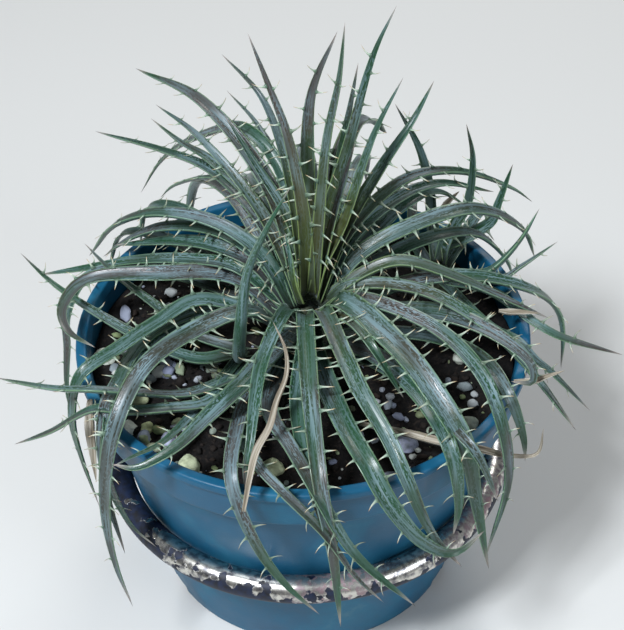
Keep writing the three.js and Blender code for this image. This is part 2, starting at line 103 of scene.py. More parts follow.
def add_node(tree, kind, inputs=(), out=None, ramp=(), **settings):
    """Adds a node and returns its output. An input takes a number, a hex colour or a socket."""
    made = tree.nodes.new("ShaderNode" + kind)
    for name, setting in settings.items():
        setattr(made, name, setting)
    for name, given in dict(inputs).items():
        socket = next(s for s in made.inputs if s.enabled and name in (s.name, s.identifier))
        if isinstance(given, bpy.types.NodeSocket):
            tree.links.new(given, socket)
        else:
            socket.default_value = value_of(given)
    for i, (place, colour) in enumerate(ramp):
        stops = made.color_ramp.elements
        stop = stops[i] if i < len(stops) else stops.new(place)
        stop.position = place
        stop.color = value_of(colour)
    return next(s for s in made.outputs if s.enabled and out in (None, s.name))


def start_material(name, **sockets):
    """A material, its node tree, and its place socket: where a point is, in metres.

    Sockets of the shader that are even all over are set here."""
    material = bpy.data.materials.new(name)
    material.use_nodes = True
    tree = material.node_tree
    for socket, given in sockets.items():
        tree.nodes["Principled BSDF"].inputs[socket.replace("_", " ")].default_value = value_of(given)
    return material, tree, add_node(tree, "TexCoord", out="Object")


def finish_material(material, relief=None, depth=0.0, **sockets):
    """Links what varies to the shader. Relief is a height map, as deep as depth millimetres."""
    tree = material.node_tree
    shader = tree.nodes["Principled BSDF"]
    if relief:
        sockets["Normal"] = add_node(tree, "Bump", {"Height": relief, "Distance": depth * MM})
    for socket, given in sockets.items():
        tree.links.new(given, shader.inputs[socket.replace("_", " ")])
    print(f"{material.name}: {len(tree.nodes)} nodes")
    return material


print("middle grey is", [round(c, 3) for c in linear("#808080")[:3]])

# %% [markdown]
# ## One mesh from many small skins
# A plant has thousands of small parts. One object for each would be slow and
# hard to handle, so a Heap gathers their points and faces and makes one mesh.
# Each point also keeps named numbers, such as how far along its leaf it lies,
# and the materials read them to draw lines that follow the leaf.

# %% Heap of skins
class Heap:
    """Points and faces of many skins, which become one piece."""

    def __init__(self):
        self.points, self.faces, self.values, self.count = [], [], {}, 0

    def add(self, points, faces, **values):
        """Adds a skin in millimetres. A value is one number for the skin or one a point."""
        self.points.append(points)
        self.faces += [[self.count + i for i in face] for face in faces]
        for name, given in values.items():
            self.values.setdefault(name, []).append(np.broadcast_to(given, len(points)))
        self.count += len(points)

    def build(self, name, material):
        """The piece in metres, riding on the plant's one body."""
        mesh = bpy.data.meshes.new(name)
        mesh.from_pydata(np.concatenate(self.points) * MM, [], self.faces)
        for label, parts in self.values.items():
            layer = mesh.attributes.new(label, "FLOAT", "POINT")
            layer.data.foreach_set("value", np.concatenate(parts).astype(np.float32))
        mesh.shade_smooth()
        mesh.materials.append(material)
        piece = bpy.data.objects.new(name, mesh)
        bpy.context.scene.collection.objects.link(piece)
        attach(piece, BODY)
        triangles = sum(len(p.vertices) - 2 for p in mesh.polygons)
        print(f"{name}: {triangles} triangles")
        return piece


# %% [markdown]
# Nearly every skin here is a row of rings: a leaf and a spine are rings that end
# in a point, and pot, soil and stems are rings round an upright axis. So three
# functions make the faces of them all.

# %% Skins made of rings
def tube_faces(rings, sides):
    """Faces of a skin of rings, each with the same number of points, capped at the start."""
    faces = [list(range(sides))[::-1]]
    for r in range(rings - 1):
        for s in range(sides):
            a, b = r * sides + s, r * sides + (s + 1) % sides
            faces.append([a, b, b + sides, a + sides])
    return faces


def tip_faces(rings, sides):
    """Faces that close the last ring on one more point."""
    last = (rings - 1) * sides
    return [[last + s, last + (s + 1) % sides, last + sides] for s in range(sides)]


def turned(outline, sides):
    """Points and faces of an outline spun round the upright axis. It starts and ends on the axis."""
    angles = np.linspace(0, 2 * math.pi, sides, endpoint=False)
    circle = np.column_stack([np.cos(angles), np.sin(angles)])
    rings = [np.column_stack([r * circle, np.full(sides, h)]) for r, h in outline[1:-1]]
    ends = [[0, 0, outline[0][1]], [0, 0, outline[-1][1]]]
    faces = tube_faces(len(rings), sides)[1:]
    first, last = len(rings) * sides, (len(rings) - 1) * sides
    for s in range(sides):
        t = (s + 1) % sides
        faces.append([s, t, first])
        faces.append([last + t, last + s, first + 1])
    return np.vstack([*rings, ends]), faces


print("faces of a tube with three rings of six points:", len(tube_faces(3, 6)))

# %% [markdown]
# ## Leaves
# A dyckia leaf leaves the crown as a thick, stiff strap, arches over under its
# own weight and is drawn out to a dry point. Its upper side is a channel, its
# underside is round. The plant is three rosettes that share the pot.
#
# A leaf could be sculpted, or bent with curve modifiers. Here each leaf is its
# greatest width and a few points of its midrib: heading in degrees, distance
# from the rosette's axis, and height. That is how one would describe a leaf to
# somebody else, and 77 leaves need only a line or two each.
#
# Crown is how high the innermost leaf starts, and the outermost one starts lower
# by the root spread. Heart is how yellow-green the innermost leaves are.

# %% The rosettes
MAIN_ROSETTE = {
    "name": "rosette_main",
    "axis": (2, -2),
    "crown": 114,
    "root_spread": 13,
    "stem_radius": 11,
    "heart": 1.0,
    "leaves": [
        # low leaves over the front rim
        [7, [318, 27, 106], [307, 58, 112], [303, 76, 108], [303, 81, 90], [302, 81, 76]],
        [6, [350, 40, 103], [336, 60, 108], [327, 73, 107], [327, 79, 92], [328, 80, 80]],
        [5, [314, 43, 106], [307, 71, 111], [307, 81, 108], [311, 86, 87]],
        [5, [240, 36, 104], [248, 60, 110], [252, 76, 107], [258, 82, 88], [264, 82, 70], [271, 83, 57]],
        [4.5, [245, 51, 105], [257, 69, 108], [264, 77, 106], [272, 82, 95], [279, 84, 74], [284, 87, 64]],
        [5.5, [250, 31, 107], [256, 50, 111], [265, 64, 111], [271, 76, 106],
            [278, 83, 86], [290, 90, 62]],
        # low leaves over the left rim
        [7, [211, 20, 119], [215, 41, 124], [216, 62, 120], [221, 79, 108], [221, 86, 78],
            [223, 87, 52], [227, 87, 38]],
        [5, [169, 25, 108], [186, 52, 105], [203, 66, 104], [214, 76, 108], [217, 81, 91],
            [219, 76, 60], [225, 72, 52]],
        [5, [175, 24, 108], [187, 48, 105], [208, 69, 103], [219, 79, 106], [219, 83, 85], [222, 82, 54]],
        [6, [178, 35, 114], [188, 49, 112], [196, 62, 111], [200, 77, 107], [201, 82, 92],
            [201, 81, 70], [206, 79, 54]],
        [5, [151, 48, 105], [155, 71, 105], [162, 80, 104], [170, 83, 98], [172, 84, 84],
            [175, 85, 68], [177, 84, 56]],
        [7.5, [153, 27, 114], [167, 50, 117], [171, 75, 114], [180, 80, 112],
            [186, 78, 110], [195, 70, 111]],
        # low leaves over the right rim and behind
        [6.5, [10, 25, 114], [8, 50, 117], [10, 73, 107], [14, 88, 90], [15, 93, 74], [13, 92, 60]],
        [9, [352, 30, 112], [347, 47, 115], [342, 64, 113], [337, 75, 110],
            [333, 77, 108], [331, 71, 108]],
        [6, [36, 20, 114], [27, 44, 122], [26, 63, 118], [25, 75, 104], [26, 80, 92]],
        [6.5, [60, 30, 108], [62, 55, 114], [64, 80, 108], [66, 92, 92]],
        [6.5, [84, 30, 110], [82, 58, 116], [80, 84, 106], [79, 94, 88]],
        [6.5, [108, 32, 112], [106, 62, 116], [105, 86, 104], [104, 94, 88]],
        [6, [143, 28, 108], [143, 56, 112], [144, 80, 106], [145, 88, 86]],
        [6.5, [131, 30, 110], [132, 58, 116], [133, 83, 107], [133, 91, 84]],
        [6, [96, 20, 110], [97, 50, 110], [95, 78, 106], [94, 89, 90], [95, 90, 72]],
        [6.5, [119, 24, 114], [118, 52, 121], [118, 82, 110], [118, 94, 88], [119, 95, 68]],
        [6.5, [71, 24, 116], [73, 50, 123], [74, 78, 117], [76, 93, 94]],
        [6.5, [90, 26, 118], [91, 52, 126], [90, 82, 116], [88, 98, 92], [88, 100, 76]],
        # middle leaves
        [7.5, [274, 20, 110], [280, 58, 114], [283, 74, 112], [286, 83, 103], [292, 88, 88],
            [299, 89, 79], [305, 90, 84]],
        [8, [242, 26, 112], [243, 46, 116], [240, 62, 115], [237, 74, 111],
            [232, 84, 107], [227, 87, 106]],
        [5.5, [152, 26, 118], [154, 45, 116], [155, 64, 110], [156, 82, 102], [157, 103, 93]],
        [7, [140, 22, 118], [146, 36, 121], [147, 52, 117], [148, 68, 110], [150, 77, 107]],
        [6, [136, 22, 120], [142, 37, 125], [147, 59, 120], [148, 77, 106], [149, 84, 98]],
        [6, [145, 18, 125], [148, 34, 132], [150, 55, 130], [150, 75, 118], [148, 92, 94]],
        [5, [43, 30, 124], [42, 48, 129], [43, 63, 124], [40, 74, 113]],
        [5.5, [266, 24, 114], [265, 45, 113], [267, 59, 110], [270, 75, 106], [272, 80, 93]],
        [6, [334, 14, 120], [330, 45, 121], [323, 65, 117], [319, 76, 108], [318, 82, 86], [313, 81, 54]],
        [6, [45, 18, 127], [43, 43, 133], [40, 60, 131], [36, 80, 120]],
        [5, [122, 28, 128], [124, 57, 132], [127, 87, 126], [130, 120, 118]],
        [5.5, [121, 28, 132], [127, 53, 140], [128, 69, 139], [129, 84, 141]],
        [4, [119, 35, 127], [120, 52, 129], [122, 69, 121], [124, 86, 108], [125, 94, 98]],
        [5, [105, 30, 144], [114, 47, 151], [119, 75, 134], [122, 102, 108], [124, 113, 88]],
        [5, [240, 12, 120], [249, 40, 122], [252, 53, 119], [254, 65, 113], [254, 71, 106], [255, 74, 98]],
        [8.5, [320, 12, 121], [309, 44, 123], [307, 63, 118], [307, 76, 108],
            [309, 80, 84], [310, 86, 56]],
        [6, [265, 12, 119], [270, 48, 118], [271, 63, 114], [272, 76, 106], [274, 84, 85], [275, 89, 58]],
        [6, [290, 12, 120], [287, 36, 121], [287, 50, 120], [290, 67, 113], [291, 77, 106],
            [295, 84, 86], [300, 90, 72]],
        [6.5, [30, 18, 124], [23, 35, 132], [22, 58, 133], [26, 83, 112], [27, 90, 95]],
        [5, [46, 18, 130], [43, 44, 139], [39, 64, 135], [36, 89, 118], [35, 98, 108]],
        [5.5, [357, 13, 120], [353, 36, 121], [346, 60, 112], [342, 77, 98], [340, 91, 82]],
        # upright inner leaves
        [7, [112, 20, 134], [118, 35, 147], [124, 61, 158], [126, 99, 152]],
        [5, [126, 14, 126], [131, 26, 140], [132, 52, 152], [131, 76, 152]],
        [4, [102, 40, 138], [107, 54, 147], [112, 70, 152]],
        [4.5, [104, 12, 130], [113, 19, 138], [120, 29, 147], [124, 46, 160]],
        [5.5, [8, 18, 123], [6, 30, 127], [3, 50, 119], [1, 79, 102]],
        [4.5, [302, 25, 123], [301, 38, 122], [305, 50, 108]],
        [8, [68, 16, 132], [67, 28, 150], [66, 40, 157], [65, 52, 152], [64, 64, 138]],
        [6, [46, 14, 130], [41, 31, 150], [38, 43, 164], [42, 56, 172]],
        [5, [68, 20, 135], [66, 28, 152], [66, 43, 178]],
        [5, [62, 12, 136], [52, 20, 158], [49, 33, 190], [47, 42, 203]],
        [6.5, [92, 13, 130], [88, 15, 151], [82, 18, 181], [64, 24, 200]],
        [4.5, [104, 14, 140], [110, 21, 160], [116, 30, 174], [121, 50, 180]],
        [5, [50, 5, 136], [43, 9, 172], [37, 13, 192], [39, 16, 210]],
        [4, [38, 8, 134], [43, 15, 150], [39, 20, 166]],
        [3.5, [200, 4, 122], [175, 5, 132], [165, 7, 140]],
        [5, [92, 4, 126], [100, 6, 145], [115, 13, 171], [118, 24, 184], [120, 33, 196]],
        [4.5, [39, 5, 124], [29, 13, 140], [37, 27, 167], [38, 39, 182]],
    ],
}

LEFT_ROSETTE = {
    "name": "rosette_left",
    "axis": (-20, -8),
    "crown": 99,
    "root_spread": 4,
    "stem_radius": 4.5,
    "heart": 0.1,
    "leaves": [
        [5.5, [258, 12, 98], [236, 30, 103], [224, 43, 109], [216, 55, 113],
            [207, 63, 110], [188, 80, 98]],
        [5.5, [251, 29, 102], [236, 40, 105], [226, 50, 107], [219, 57, 108],
            [211, 69, 98], [205, 79, 90]],
        [4, [246, 20, 99], [243, 50, 102], [239, 62, 104], [236, 68, 103]],
        [5.5, [191, 14, 97], [179, 27, 100], [166, 48, 104], [157, 71, 106], [157, 81, 115]],
        [4.5, [162, 17, 101], [150, 34, 104], [147, 51, 108], [143, 68, 111]],
        [4.5, [268, 12, 106], [273, 19, 124], [282, 21, 148], [295, 24, 164], [312, 27, 179]],
    ],
}

RIGHT_ROSETTE = {
    "name": "rosette_right",
    "axis": (47, 31),
    "crown": 100,
    "root_spread": 5,
    "stem_radius": 6,
    "heart": 0.3,
    "leaves": [
        [4.5, [314, 24, 102], [309, 46, 104], [312, 54, 102], [325, 71, 93]],
        [4, [293, 38, 102], [297, 49, 104], [299, 58, 101], [303, 61, 96], [310, 72, 82]],
        [5, [126, 12, 102], [105, 27, 108], [94, 39, 102]],
        [5, [44, 10, 102], [49, 26, 108], [45, 40, 96]],
        [5.5, [326, 18, 105], [344, 25, 112], [356, 33, 125]],
        [3.5, [329, 24, 104], [336, 29, 108], [347, 40, 116]],
        [5.5, [68, 5, 104], [31, 13, 107], [21, 20, 113], [22, 22, 119], [26, 28, 133]],
        [4.5, [56, 4, 106], [36, 7, 114], [23, 10, 122], [29, 12, 140], [44, 11, 153]],
        [4.5, [101, 5, 106], [101, 10, 114], [105, 11, 124], [120, 13, 140], [144, 19, 159]],
    ],
}

ROSETTES = [MAIN_ROSETTE, LEFT_ROSETTE, RIGHT_ROSETTE]
print("leaves:", {r["name"]: len(r["leaves"]) for r in ROSETTES})

# %% [markdown]
# The midrib is a centripetal Catmull-Rom curve. It passes through every point,
# as a Bezier curve would not, and it doesn't loop where two points are close.
# Along it go even steps, each with three directions: along the leaf, to its
# left margin, and up out of its channel. The side direction is carried from
# step to step, so a leaf that arches over keeps its channel on the same side.

# %% Midrib
SPAN_STEPS = 16  # fine steps between two points of a midrib
LEAF_STEPS = 60


def polar(axis, heading, out, height):
    """A point in millimetres, from its heading and distance round an axis, and its height."""
    angle = math.radians(heading)
    return (axis[0] + out * math.cos(angle), axis[1] + out * math.sin(angle), height)


def curve_through(points):
    """A centripetal Catmull-Rom curve through the points, in fine steps."""
    p = np.array(points, float)
    p = np.vstack([2 * p[0] - p[1], p, 2 * p[-1] - p[-2]])
    knots = np.maximum(np.linalg.norm(np.diff(p, axis=0), axis=1) ** 0.5, 1e-3)
    fine = []
    for i in range(1, len(p) - 2):
        before, here, after = knots[i - 1 : i + 2]
        leave = (p[i] - p[i - 1]) / before - (p[i + 1] - p[i - 1]) / (before + here)
        leave = (leave + (p[i + 1] - p[i]) / here) * here
        arrive = (p[i + 1] - p[i]) / here - (p[i + 2] - p[i]) / (here + after)
        arrive = (arrive + (p[i + 2] - p[i + 1]) / after) * here
        t = np.linspace(0, 1, SPAN_STEPS, endpoint=False)[:, None]
        cubic = 2 * (p[i] - p[i + 1]) + leave + arrive
        square = 3 * (p[i + 1] - p[i]) - 2 * leave - arrive
        fine.append(p[i] + leave * t + square * t**2 + cubic * t**3)
    return np.vstack([*fine, p[-2]])


def even_steps(curve, steps):
    """The same curve in even steps, and the distance of each from its start."""
    runs = np.concatenate([[0], np.cumsum(np.linalg.norm(np.diff(curve, axis=0), axis=1))])
    distance = np.linspace(0, runs[-1], steps)
    return np.column_stack([np.interp(distance, runs, axis) for axis in curve.T]), distance


first_leaf = [polar(MAIN_ROSETTE["axis"], *point) for point in MAIN_ROSETTE["leaves"][0][1:]]
_, first_run = even_steps(curve_through(first_leaf), LEAF_STEPS)
print("listed stretch of the first leaf, mm:", round(first_run[-1]))


# %% Directions along a leaf
def unit(vectors):
    """The same directions, each one long."""
    return vectors / np.linalg.norm(vectors, axis=-1, keepdims=True)


def frames_along(at, first_side):
    """The directions along, sideways and up at each step."""
    along = unit(np.gradient(at, axis=0))
    side = np.empty_like(at)
    carried = np.array(first_side, float)
    for i, direction in enumerate(along):
        carried = unit(carried - carried.dot(direction) * direction)
        side[i] = carried
    return along, side, np.cross(along, side)


rising = frames_along(np.array([[0, 0, 0], [1, 0, 1], [2, 0, 2]], float), (0, 1, 0))
print("up on a leaf that rises at 45 degrees:", rising[2][1].round(2))

# %% [markdown]
# ### The blade
# The blade's cross-section is a channel above and a rounded keel below, with a
# thin but blunt margin. Both are one formula across the leaf, from -1 at one
# margin to 1 at the other, so a narrow leaf and a wide one have the same shape.

# %% Cross-section of a blade
ACROSS_TOP = 9  # points across the channel, margins included
ACROSS_KEEL = 9
KEEL_WIDTH = 0.97  # of the channel's width, which blunts the margin
CHANNEL_ROUNDNESS, KEEL_ROUNDNESS = 1.5, 2.4  # 2 is a parabola, and more is flatter
LEAF_THICKNESS = 0.24  # of the leaf's width
LEAST_THICKNESS = 0.7  # mm, which fades away in the last of the tip
MARGIN_THICKNESS = 0.35  # mm
NARROW_MARGIN = 0.3  # of the half width, where the leaf is narrow

top_x = np.linspace(-1, 1, ACROSS_TOP)
keel_x = np.linspace(1, -1, ACROSS_KEEL) * KEEL_WIDTH
SECTION_X = np.concatenate([top_x, keel_x])
IS_TOP = np.concatenate([np.ones(ACROSS_TOP), np.zeros(ACROSS_KEEL)])
CHANNEL_SHAPE = 1 - np.abs(SECTION_X) ** CHANNEL_ROUNDNESS
KEEL_SHAPE = np.maximum(1 - np.abs(SECTION_X) ** KEEL_ROUNDNESS, 0)


def section_drop(half, channel_share):
    """How far each point of the section lies under the margins, at each half width."""
    channel = 2 * half * channel_share
    keel = channel + np.maximum(LEAST_THICKNESS * np.minimum(half, 1), 2 * half * LEAF_THICKNESS)
    margin = np.minimum(MARGIN_THICKNESS, half * NARROW_MARGIN)
    top = channel[:, None] * CHANNEL_SHAPE
    under = margin[:, None] + (keel - margin)[:, None] * KEEL_SHAPE
    return np.where(IS_TOP > 0, top, under)


print("depth of a 6 mm blade, mm:", section_drop(np.array([3.0]), 0.2).max().round(2))

# %% [markdown]
# Along the leaf, the width is drawn out to the tip, evenly in a young, upright
# leaf and late in an old one that hangs. A little twist and a slow ripple of the
# margins keep the leaves from looking cut from a sheet.

# %% Width of a blade
LEAF_TAPER = 0.15  # loss of width along the blade
UPRIGHT_TIP_POWER = 2.0  # how late the blade draws in to its tip
HANGING_TIP_POWER = 3.4  # a leaf that hangs keeps its width for longer
FULL_HANG = 20  # mm from its highest point down to its tip
TIP_FINENESS = 0.8  # 0.5 is a round tip and 1 a point with straight sides


def tip_power_of(points):
    """How late a leaf draws in, from how far its tip hangs."""
    heights = [point[2] for point in points]
    hang = min((max(heights) - heights[-1]) / FULL_HANG, 1)
    return UPRIGHT_TIP_POWER + (HANGING_TIP_POWER - UPRIGHT_TIP_POWER) * hang


def half_width(t, width, tip_power):
    """Half the width at a share t of the length."""
    return width / 2 * np.maximum(1 - t**tip_power, 0) ** TIP_FINENESS * (1 - LEAF_TAPER * t)


for kind, power in (("upright", UPRIGHT_TIP_POWER), ("hanging", HANGING_TIP_POWER)):
    print(f"width of a 6 mm leaf that is {kind}, at 80%, mm:", round(2 * half_width(0.8, 6, power), 1))

# %% Leaf blade
OUTER_CHANNEL, INNER_CHANNEL = 0.14, 0.32  # its depth, of the leaf's width
TWIST = math.radians(16)  # greatest twist along a leaf
TWIST_LATENESS = 1.5  # 1 is an even twist, and more leaves it to the tip
WIDTH_RIPPLE = 0.02
RIPPLE_LENGTH = 6  # mm for each radian


class Leaf:
    """One leaf: its midrib, directions and half width. Rank is 0 outside and 1 at the heart."""

    def __init__(
        self, points, width, chance, rank=0.5, heart=0.0, twist=TWIST, tip_power=UPRIGHT_TIP_POWER
    ):
        self.tone, self.heart = chance.random(), heart
        self.channel = OUTER_CHANNEL + (INNER_CHANNEL - OUTER_CHANNEL) * rank
        self.at, self.run = even_steps(curve_through(points), LEAF_STEPS)
        self.t = self.run / self.run[-1]
        across, forward = self.at[1][:2] - self.at[0][:2]
        self.along, side, up = frames_along(self.at, (-forward, across, 0))
        turn = (chance.uniform(-twist, twist) * self.t**TWIST_LATENESS)[:, None]
        self.side = side * np.cos(turn) + up * np.sin(turn)
        self.up = up * np.cos(turn) - side * np.sin(turn)
        phase = chance.uniform(0, 2 * math.pi)
        ripple = 1 + WIDTH_RIPPLE * np.sin(self.run / RIPPLE_LENGTH + phase)
        self.half = half_width(self.t, width, tip_power) * ripple

    def add_blade(self, heap):
        """Adds the blade's skin, with the numbers that its material reads."""
        drop = section_drop(self.half[:-1], self.channel)
        out = self.half[:-1, None] * SECTION_X
        rings = (
            self.at[:-1, None]
            + self.side[:-1, None] * out[..., None]
            - self.up[:-1, None] * drop[..., None]
        )
        points = np.vstack([rings.reshape(-1, 3), self.at[-1:]])
        sides, count = len(SECTION_X), LEAF_STEPS - 1
        heap.add(
            points,
            tube_faces(count, sides) + tip_faces(count, sides),
            leaf_along=np.append(np.repeat(self.t[:-1], sides), 1),
            leaf_run=np.append(np.repeat(self.run[:-1], sides), self.run[-1]),
            leaf_across=np.append(out.ravel(), 0),
            leaf_top=np.append(np.tile(IS_TOP, count), 0.5),
            leaf_edge=np.append(np.tile(np.abs(SECTION_X), count), 0),
            leaf_tone=self.tone,
            leaf_heart=self.heart,
        )


sample = Leaf(first_leaf, 7, random.Random(0))
print("widest part of a sample leaf, mm:", (2 * sample.half.max()).round(1))

# %% [markdown]
# A rosette's leaves are listed from the outermost to the innermost. A leaf's rank
# in that list says where it starts on the stem and how deep its channel is, and
# the innermost ones take on the yellow-green of the heart.

# %% Leaf of a rosette
ROOT_OUT = 0.75  # of the stem's radius, for the outermost leaf
ROOT_CLOSING = 0.8  # how much nearer the axis the innermost root is
HEART_RANK = 0.6  # from this rank inwards a leaf has the heart's colour


def rosette_leaf(rosette, index, chance):
    """A leaf of a rosette, by its place in the list."""
    width, *points = rosette["leaves"][index]
    rank = index / (len(rosette["leaves"]) - 1)
    root_height = rosette["crown"] - rosette["root_spread"] * (1 - rank)
    root_out = rosette["stem_radius"] * ROOT_OUT * (1 - ROOT_CLOSING * rank)
    root = polar(rosette["axis"], points[0][0], root_out, root_height)
    midrib = [root, *(polar(rosette["axis"], *point) for point in points)]
    heart = max(0, rank - HEART_RANK) / (1 - HEART_RANK) * rosette["heart"]
    return Leaf(midrib, width, chance, rank, heart, tip_power=tip_power_of(points))


outermost = rosette_leaf(MAIN_ROSETTE, 0, random.Random(0))
print("root of the outermost leaf, mm:", outermost.at[0].round(1))

# %% [markdown]
# ### The spines
# A spine is an outgrowth of the margin: a broad, flat foot that narrows fast to
# a curved claw. Near the crown they stand close together and point back to it;
# further out they are smaller, further apart and lean to the tip. Each is one
# short skin of six-sided rings along a bent line, so it keeps its hook from
# every side and in the finished mesh.

# %% One spine
SPINE_LENGTH = 5.2
SPINE_FOOT = 1.2  # half its length along the margin
SPINE_SIZES = (0.82, 1.18)  # smallest and largest, by chance
SPINE_TAPER = 0.45  # loss of size along the leaf
SPINE_YOUNG = 0.6  # size next to the root
GROWN_BY = 0.25  # share of the leaf at which a spine has its full size
SPINE_LEAN = 0.8  # how far the claw bends along the leaf, of its length
LEAN_GAIN, LEAN_BACK = 1.5, 0.6  # it leans back at the root and forward from 40% on
LEAN_CHANCE = 0.18
SPINE_RISE = 0.12
RISE_CHANCE = (-0.14, 0.16)
SPINE_SIDES = 6
# Rings from inside the margin to the point: share of the length, share of the foot's size.
SPINE_RINGS = ((-0.12, 1.0), (0.03, 0.8), (0.14, 0.46), (0.34, 0.32), (0.6, 0.22), (0.84, 0.11))
SPINE_FLATNESS = 0.5
THICKEST_SPINE = 0.8  # of the margin's thickness
THINNEST_SPINE = 0.04  # mm, added throughout so that the point isn't a knife edge


def add_spine(heap, leaf, place, hand, chance):
    """One claw on the margin, at a share of the leaf's length. Hand is 1 left and -1 right."""
    i = min(int(place * (LEAF_STEPS - 1)), LEAF_STEPS - 2)
    grown = min(1, SPINE_YOUNG + (1 - SPINE_YOUNG) * place / GROWN_BY)
    size = grown * (1 - SPINE_TAPER * place) * chance.uniform(*SPINE_SIZES)
    length = SPINE_LENGTH * size
    lean = SPINE_LEAN * (LEAN_GAIN * place - LEAN_BACK) + chance.uniform(-LEAN_CHANCE, LEAN_CHANCE)
    rise = SPINE_RISE + chance.uniform(*RISE_CHANCE)
    outward, along, up = leaf.side[i] * hand, leaf.along[i], leaf.up[i]
    foot = leaf.at[i] + outward * leaf.half[i] - up * MARGIN_THICKNESS / 2
    rings = []
    for share, swell in SPINE_RINGS:
        centre = foot + length * (outward * share + (along * lean + up * rise) * share * abs(share))
        long_half = SPINE_FOOT * size * swell
        thin_half = min(long_half * SPINE_FLATNESS, MARGIN_THICKNESS * THICKEST_SPINE) + THINNEST_SPINE
        for s in range(SPINE_SIDES):
            angle = 2 * math.pi * s / SPINE_SIDES * hand
            rings.append(centre + along * long_half * math.cos(angle) + up * thin_half * math.sin(angle))
    rings.append(foot + length * (outward + along * lean + up * rise))
    count = len(SPINE_RINGS)
    shares = np.append(np.repeat([max(s, 0) for s, _ in SPINE_RINGS], SPINE_SIDES), 1)
    faces = tube_faces(count, SPINE_SIDES) + tip_faces(count, SPINE_SIDES)
    heap.add(np.array(rings), faces, spine_share=shares, spine_tone=chance.random())


sample_spines = Heap()
add_spine(sample_spines, sample, 0.5, 1, random.Random(0))
print("points of a spine:", sample_spines.count)

# %% Rows of spines
FIRST_SPINE = 10  # mm from the root
LAST_SPINE = 0.9  # share of the leaf
NEAR_SPACING, FAR_SPACING = 7.5, 15
UNEVEN_SPACING = (0.85, 1.15)


def add_spines(heap, leaf, chance):
    """Spines along both margins."""
    for hand in (1, -1):
        run = FIRST_SPINE + chance.uniform(0, NEAR_SPACING)
        while run < LAST_SPINE * leaf.run[-1]:
            place = run / leaf.run[-1]
            add_spine(heap, leaf, place, hand, chance)
            spacing = NEAR_SPACING + (FAR_SPACING - NEAR_SPACING) * place
            run += spacing * chance.uniform(*UNEVEN_SPACING)


add_spines(sample_spines, sample, random.Random(0))
print("points of all spines on the sample leaf:", sample_spines.count)

# %% [markdown]
# ### Leaf skin
# The skin is living leaf: a waxy green cuticle with rows of silvery scales over
# it, thickest in lines between the veins, worn off in patches and fewer towards
# the tip. Sun turns some stretches purplish bronze, the underside is a plainer
# green, the heart stays yellow-green, and the last of the tip is dry. Each leaf
# also darkens towards its root, which is painted shade where the leaves crowd
# together at the crown. Wax gives a satin shine and the scales take it off
# again, so the lines are duller.
#
# The lines have to follow a bent leaf, so they are drawn with the numbers that
# each point keeps: distance across in millimetres against distance along. The
# leaf's own number is the third, so no two leaves have the same lines.

# %% Where each coat shows
# Each pattern's cells: how many there are in a millimetre across and along the leaf, and
# how fast the pattern changes from leaf to leaf.
LEAF_PATTERNS = {
    "line": (1 / 0.5, 1 / 22, 97),  # rows of scales, 0.5 mm apart
    "band": (1 / 2.2, 1 / 45, 53),  # rows that have run together
    "speck": (1 / 0.35, 1 / 1.2, 31),  # single scales, drawn larger than life to show
    "sun": (1 / 9, 1 / 55, 19),
    "worn": (1 / 5, 1 / 20, 71),
}


def leaf_masks(tree):
    """Where each coat of the leaf's colour shows, from 0 to 1, by name."""
    names = ("along", "across", "run", "top", "edge", "tone", "heart")
    mark = {n: add_node(tree, "Attribute", out="Fac", attribute_name="leaf_" + n) for n in names}
    grid = add_node(tree, "CombineXYZ", {"X": mark["across"], "Y": mark["run"], "Z": mark["tone"]})
    drawn = {}
    for name, cells in LEAF_PATTERNS.items():
        cell = {"Vector": grid, "Vector_001": cells}
        cell = add_node(tree, "VectorMath", cell, operation="MULTIPLY")
        drawn[name] = add_node(tree, "TexNoise", {"Vector": cell, "Scale": 1.0, "Detail": 1.5})
    # Each mask: what it is read from, that value's range, and the mask at either end of it.
    ranges = {
        "bronze": (drawn["sun"], 0.45, 0.6, 0.0, 0.9),
        "deep": (mark["tone"], 0.3, 1.0, 0.0, 0.6),
        "under": (mark["top"], 0.4, 0.6, 0.8, 0.0),
        "lines": (drawn["line"], 0.46, 0.6, 0.0, 0.68),
        "bands": (drawn["band"], 0.52, 0.7, 0.0, 0.45),
        "specks": (drawn["speck"], 0.5, 0.62, 0.0, 0.62),
        "patches": (drawn["worn"], 0.4, 0.6, 0.3, 1.0),
        "margin": (mark["edge"], 0.84, 0.98, 0.0, 0.55),
        "fresh": (mark["along"], 0.45, 0.95, 1.0, 0.45),
        "near": (mark["along"], 0.25, 0.8, 0.75, 0.0),
        # root: painted shade, darker towards the root where the leaves crowd at the crown
        "root": (mark["along"], 0.0, 0.14, 0.7, 0.0),
        "dry": (mark["along"], 0.92, 0.995, 0.0, 0.85),
    }
    masks = {"heart": mark["heart"]}
    for name, (source, low, high, bottom, top) in ranges.items():
        given = {"Value": source, "From Min": low, "From Max": high, "To Min": bottom, "To Max": top}
        masks[name] = add_node(tree, "MapRange", given, interpolation_type="SMOOTHSTEP")
    return masks


print("patterns on a leaf:", ", ".join(LEAF_PATTERNS))

# %% [markdown]
# The coats lie over each other as on the leaf: sun and age in the green itself,
# then the scales, then the pale margin and the dry tip. The scales are also a
# low relief, because each of them stands a little proud of the wax.

# %% Leaf skin material
SKIN_RELIEF = 0.12  # mm, deeper than real scales, so that it shows
WAX_ROUGHNESS, SCALE_ROUGHNESS = 0.3, 0.46


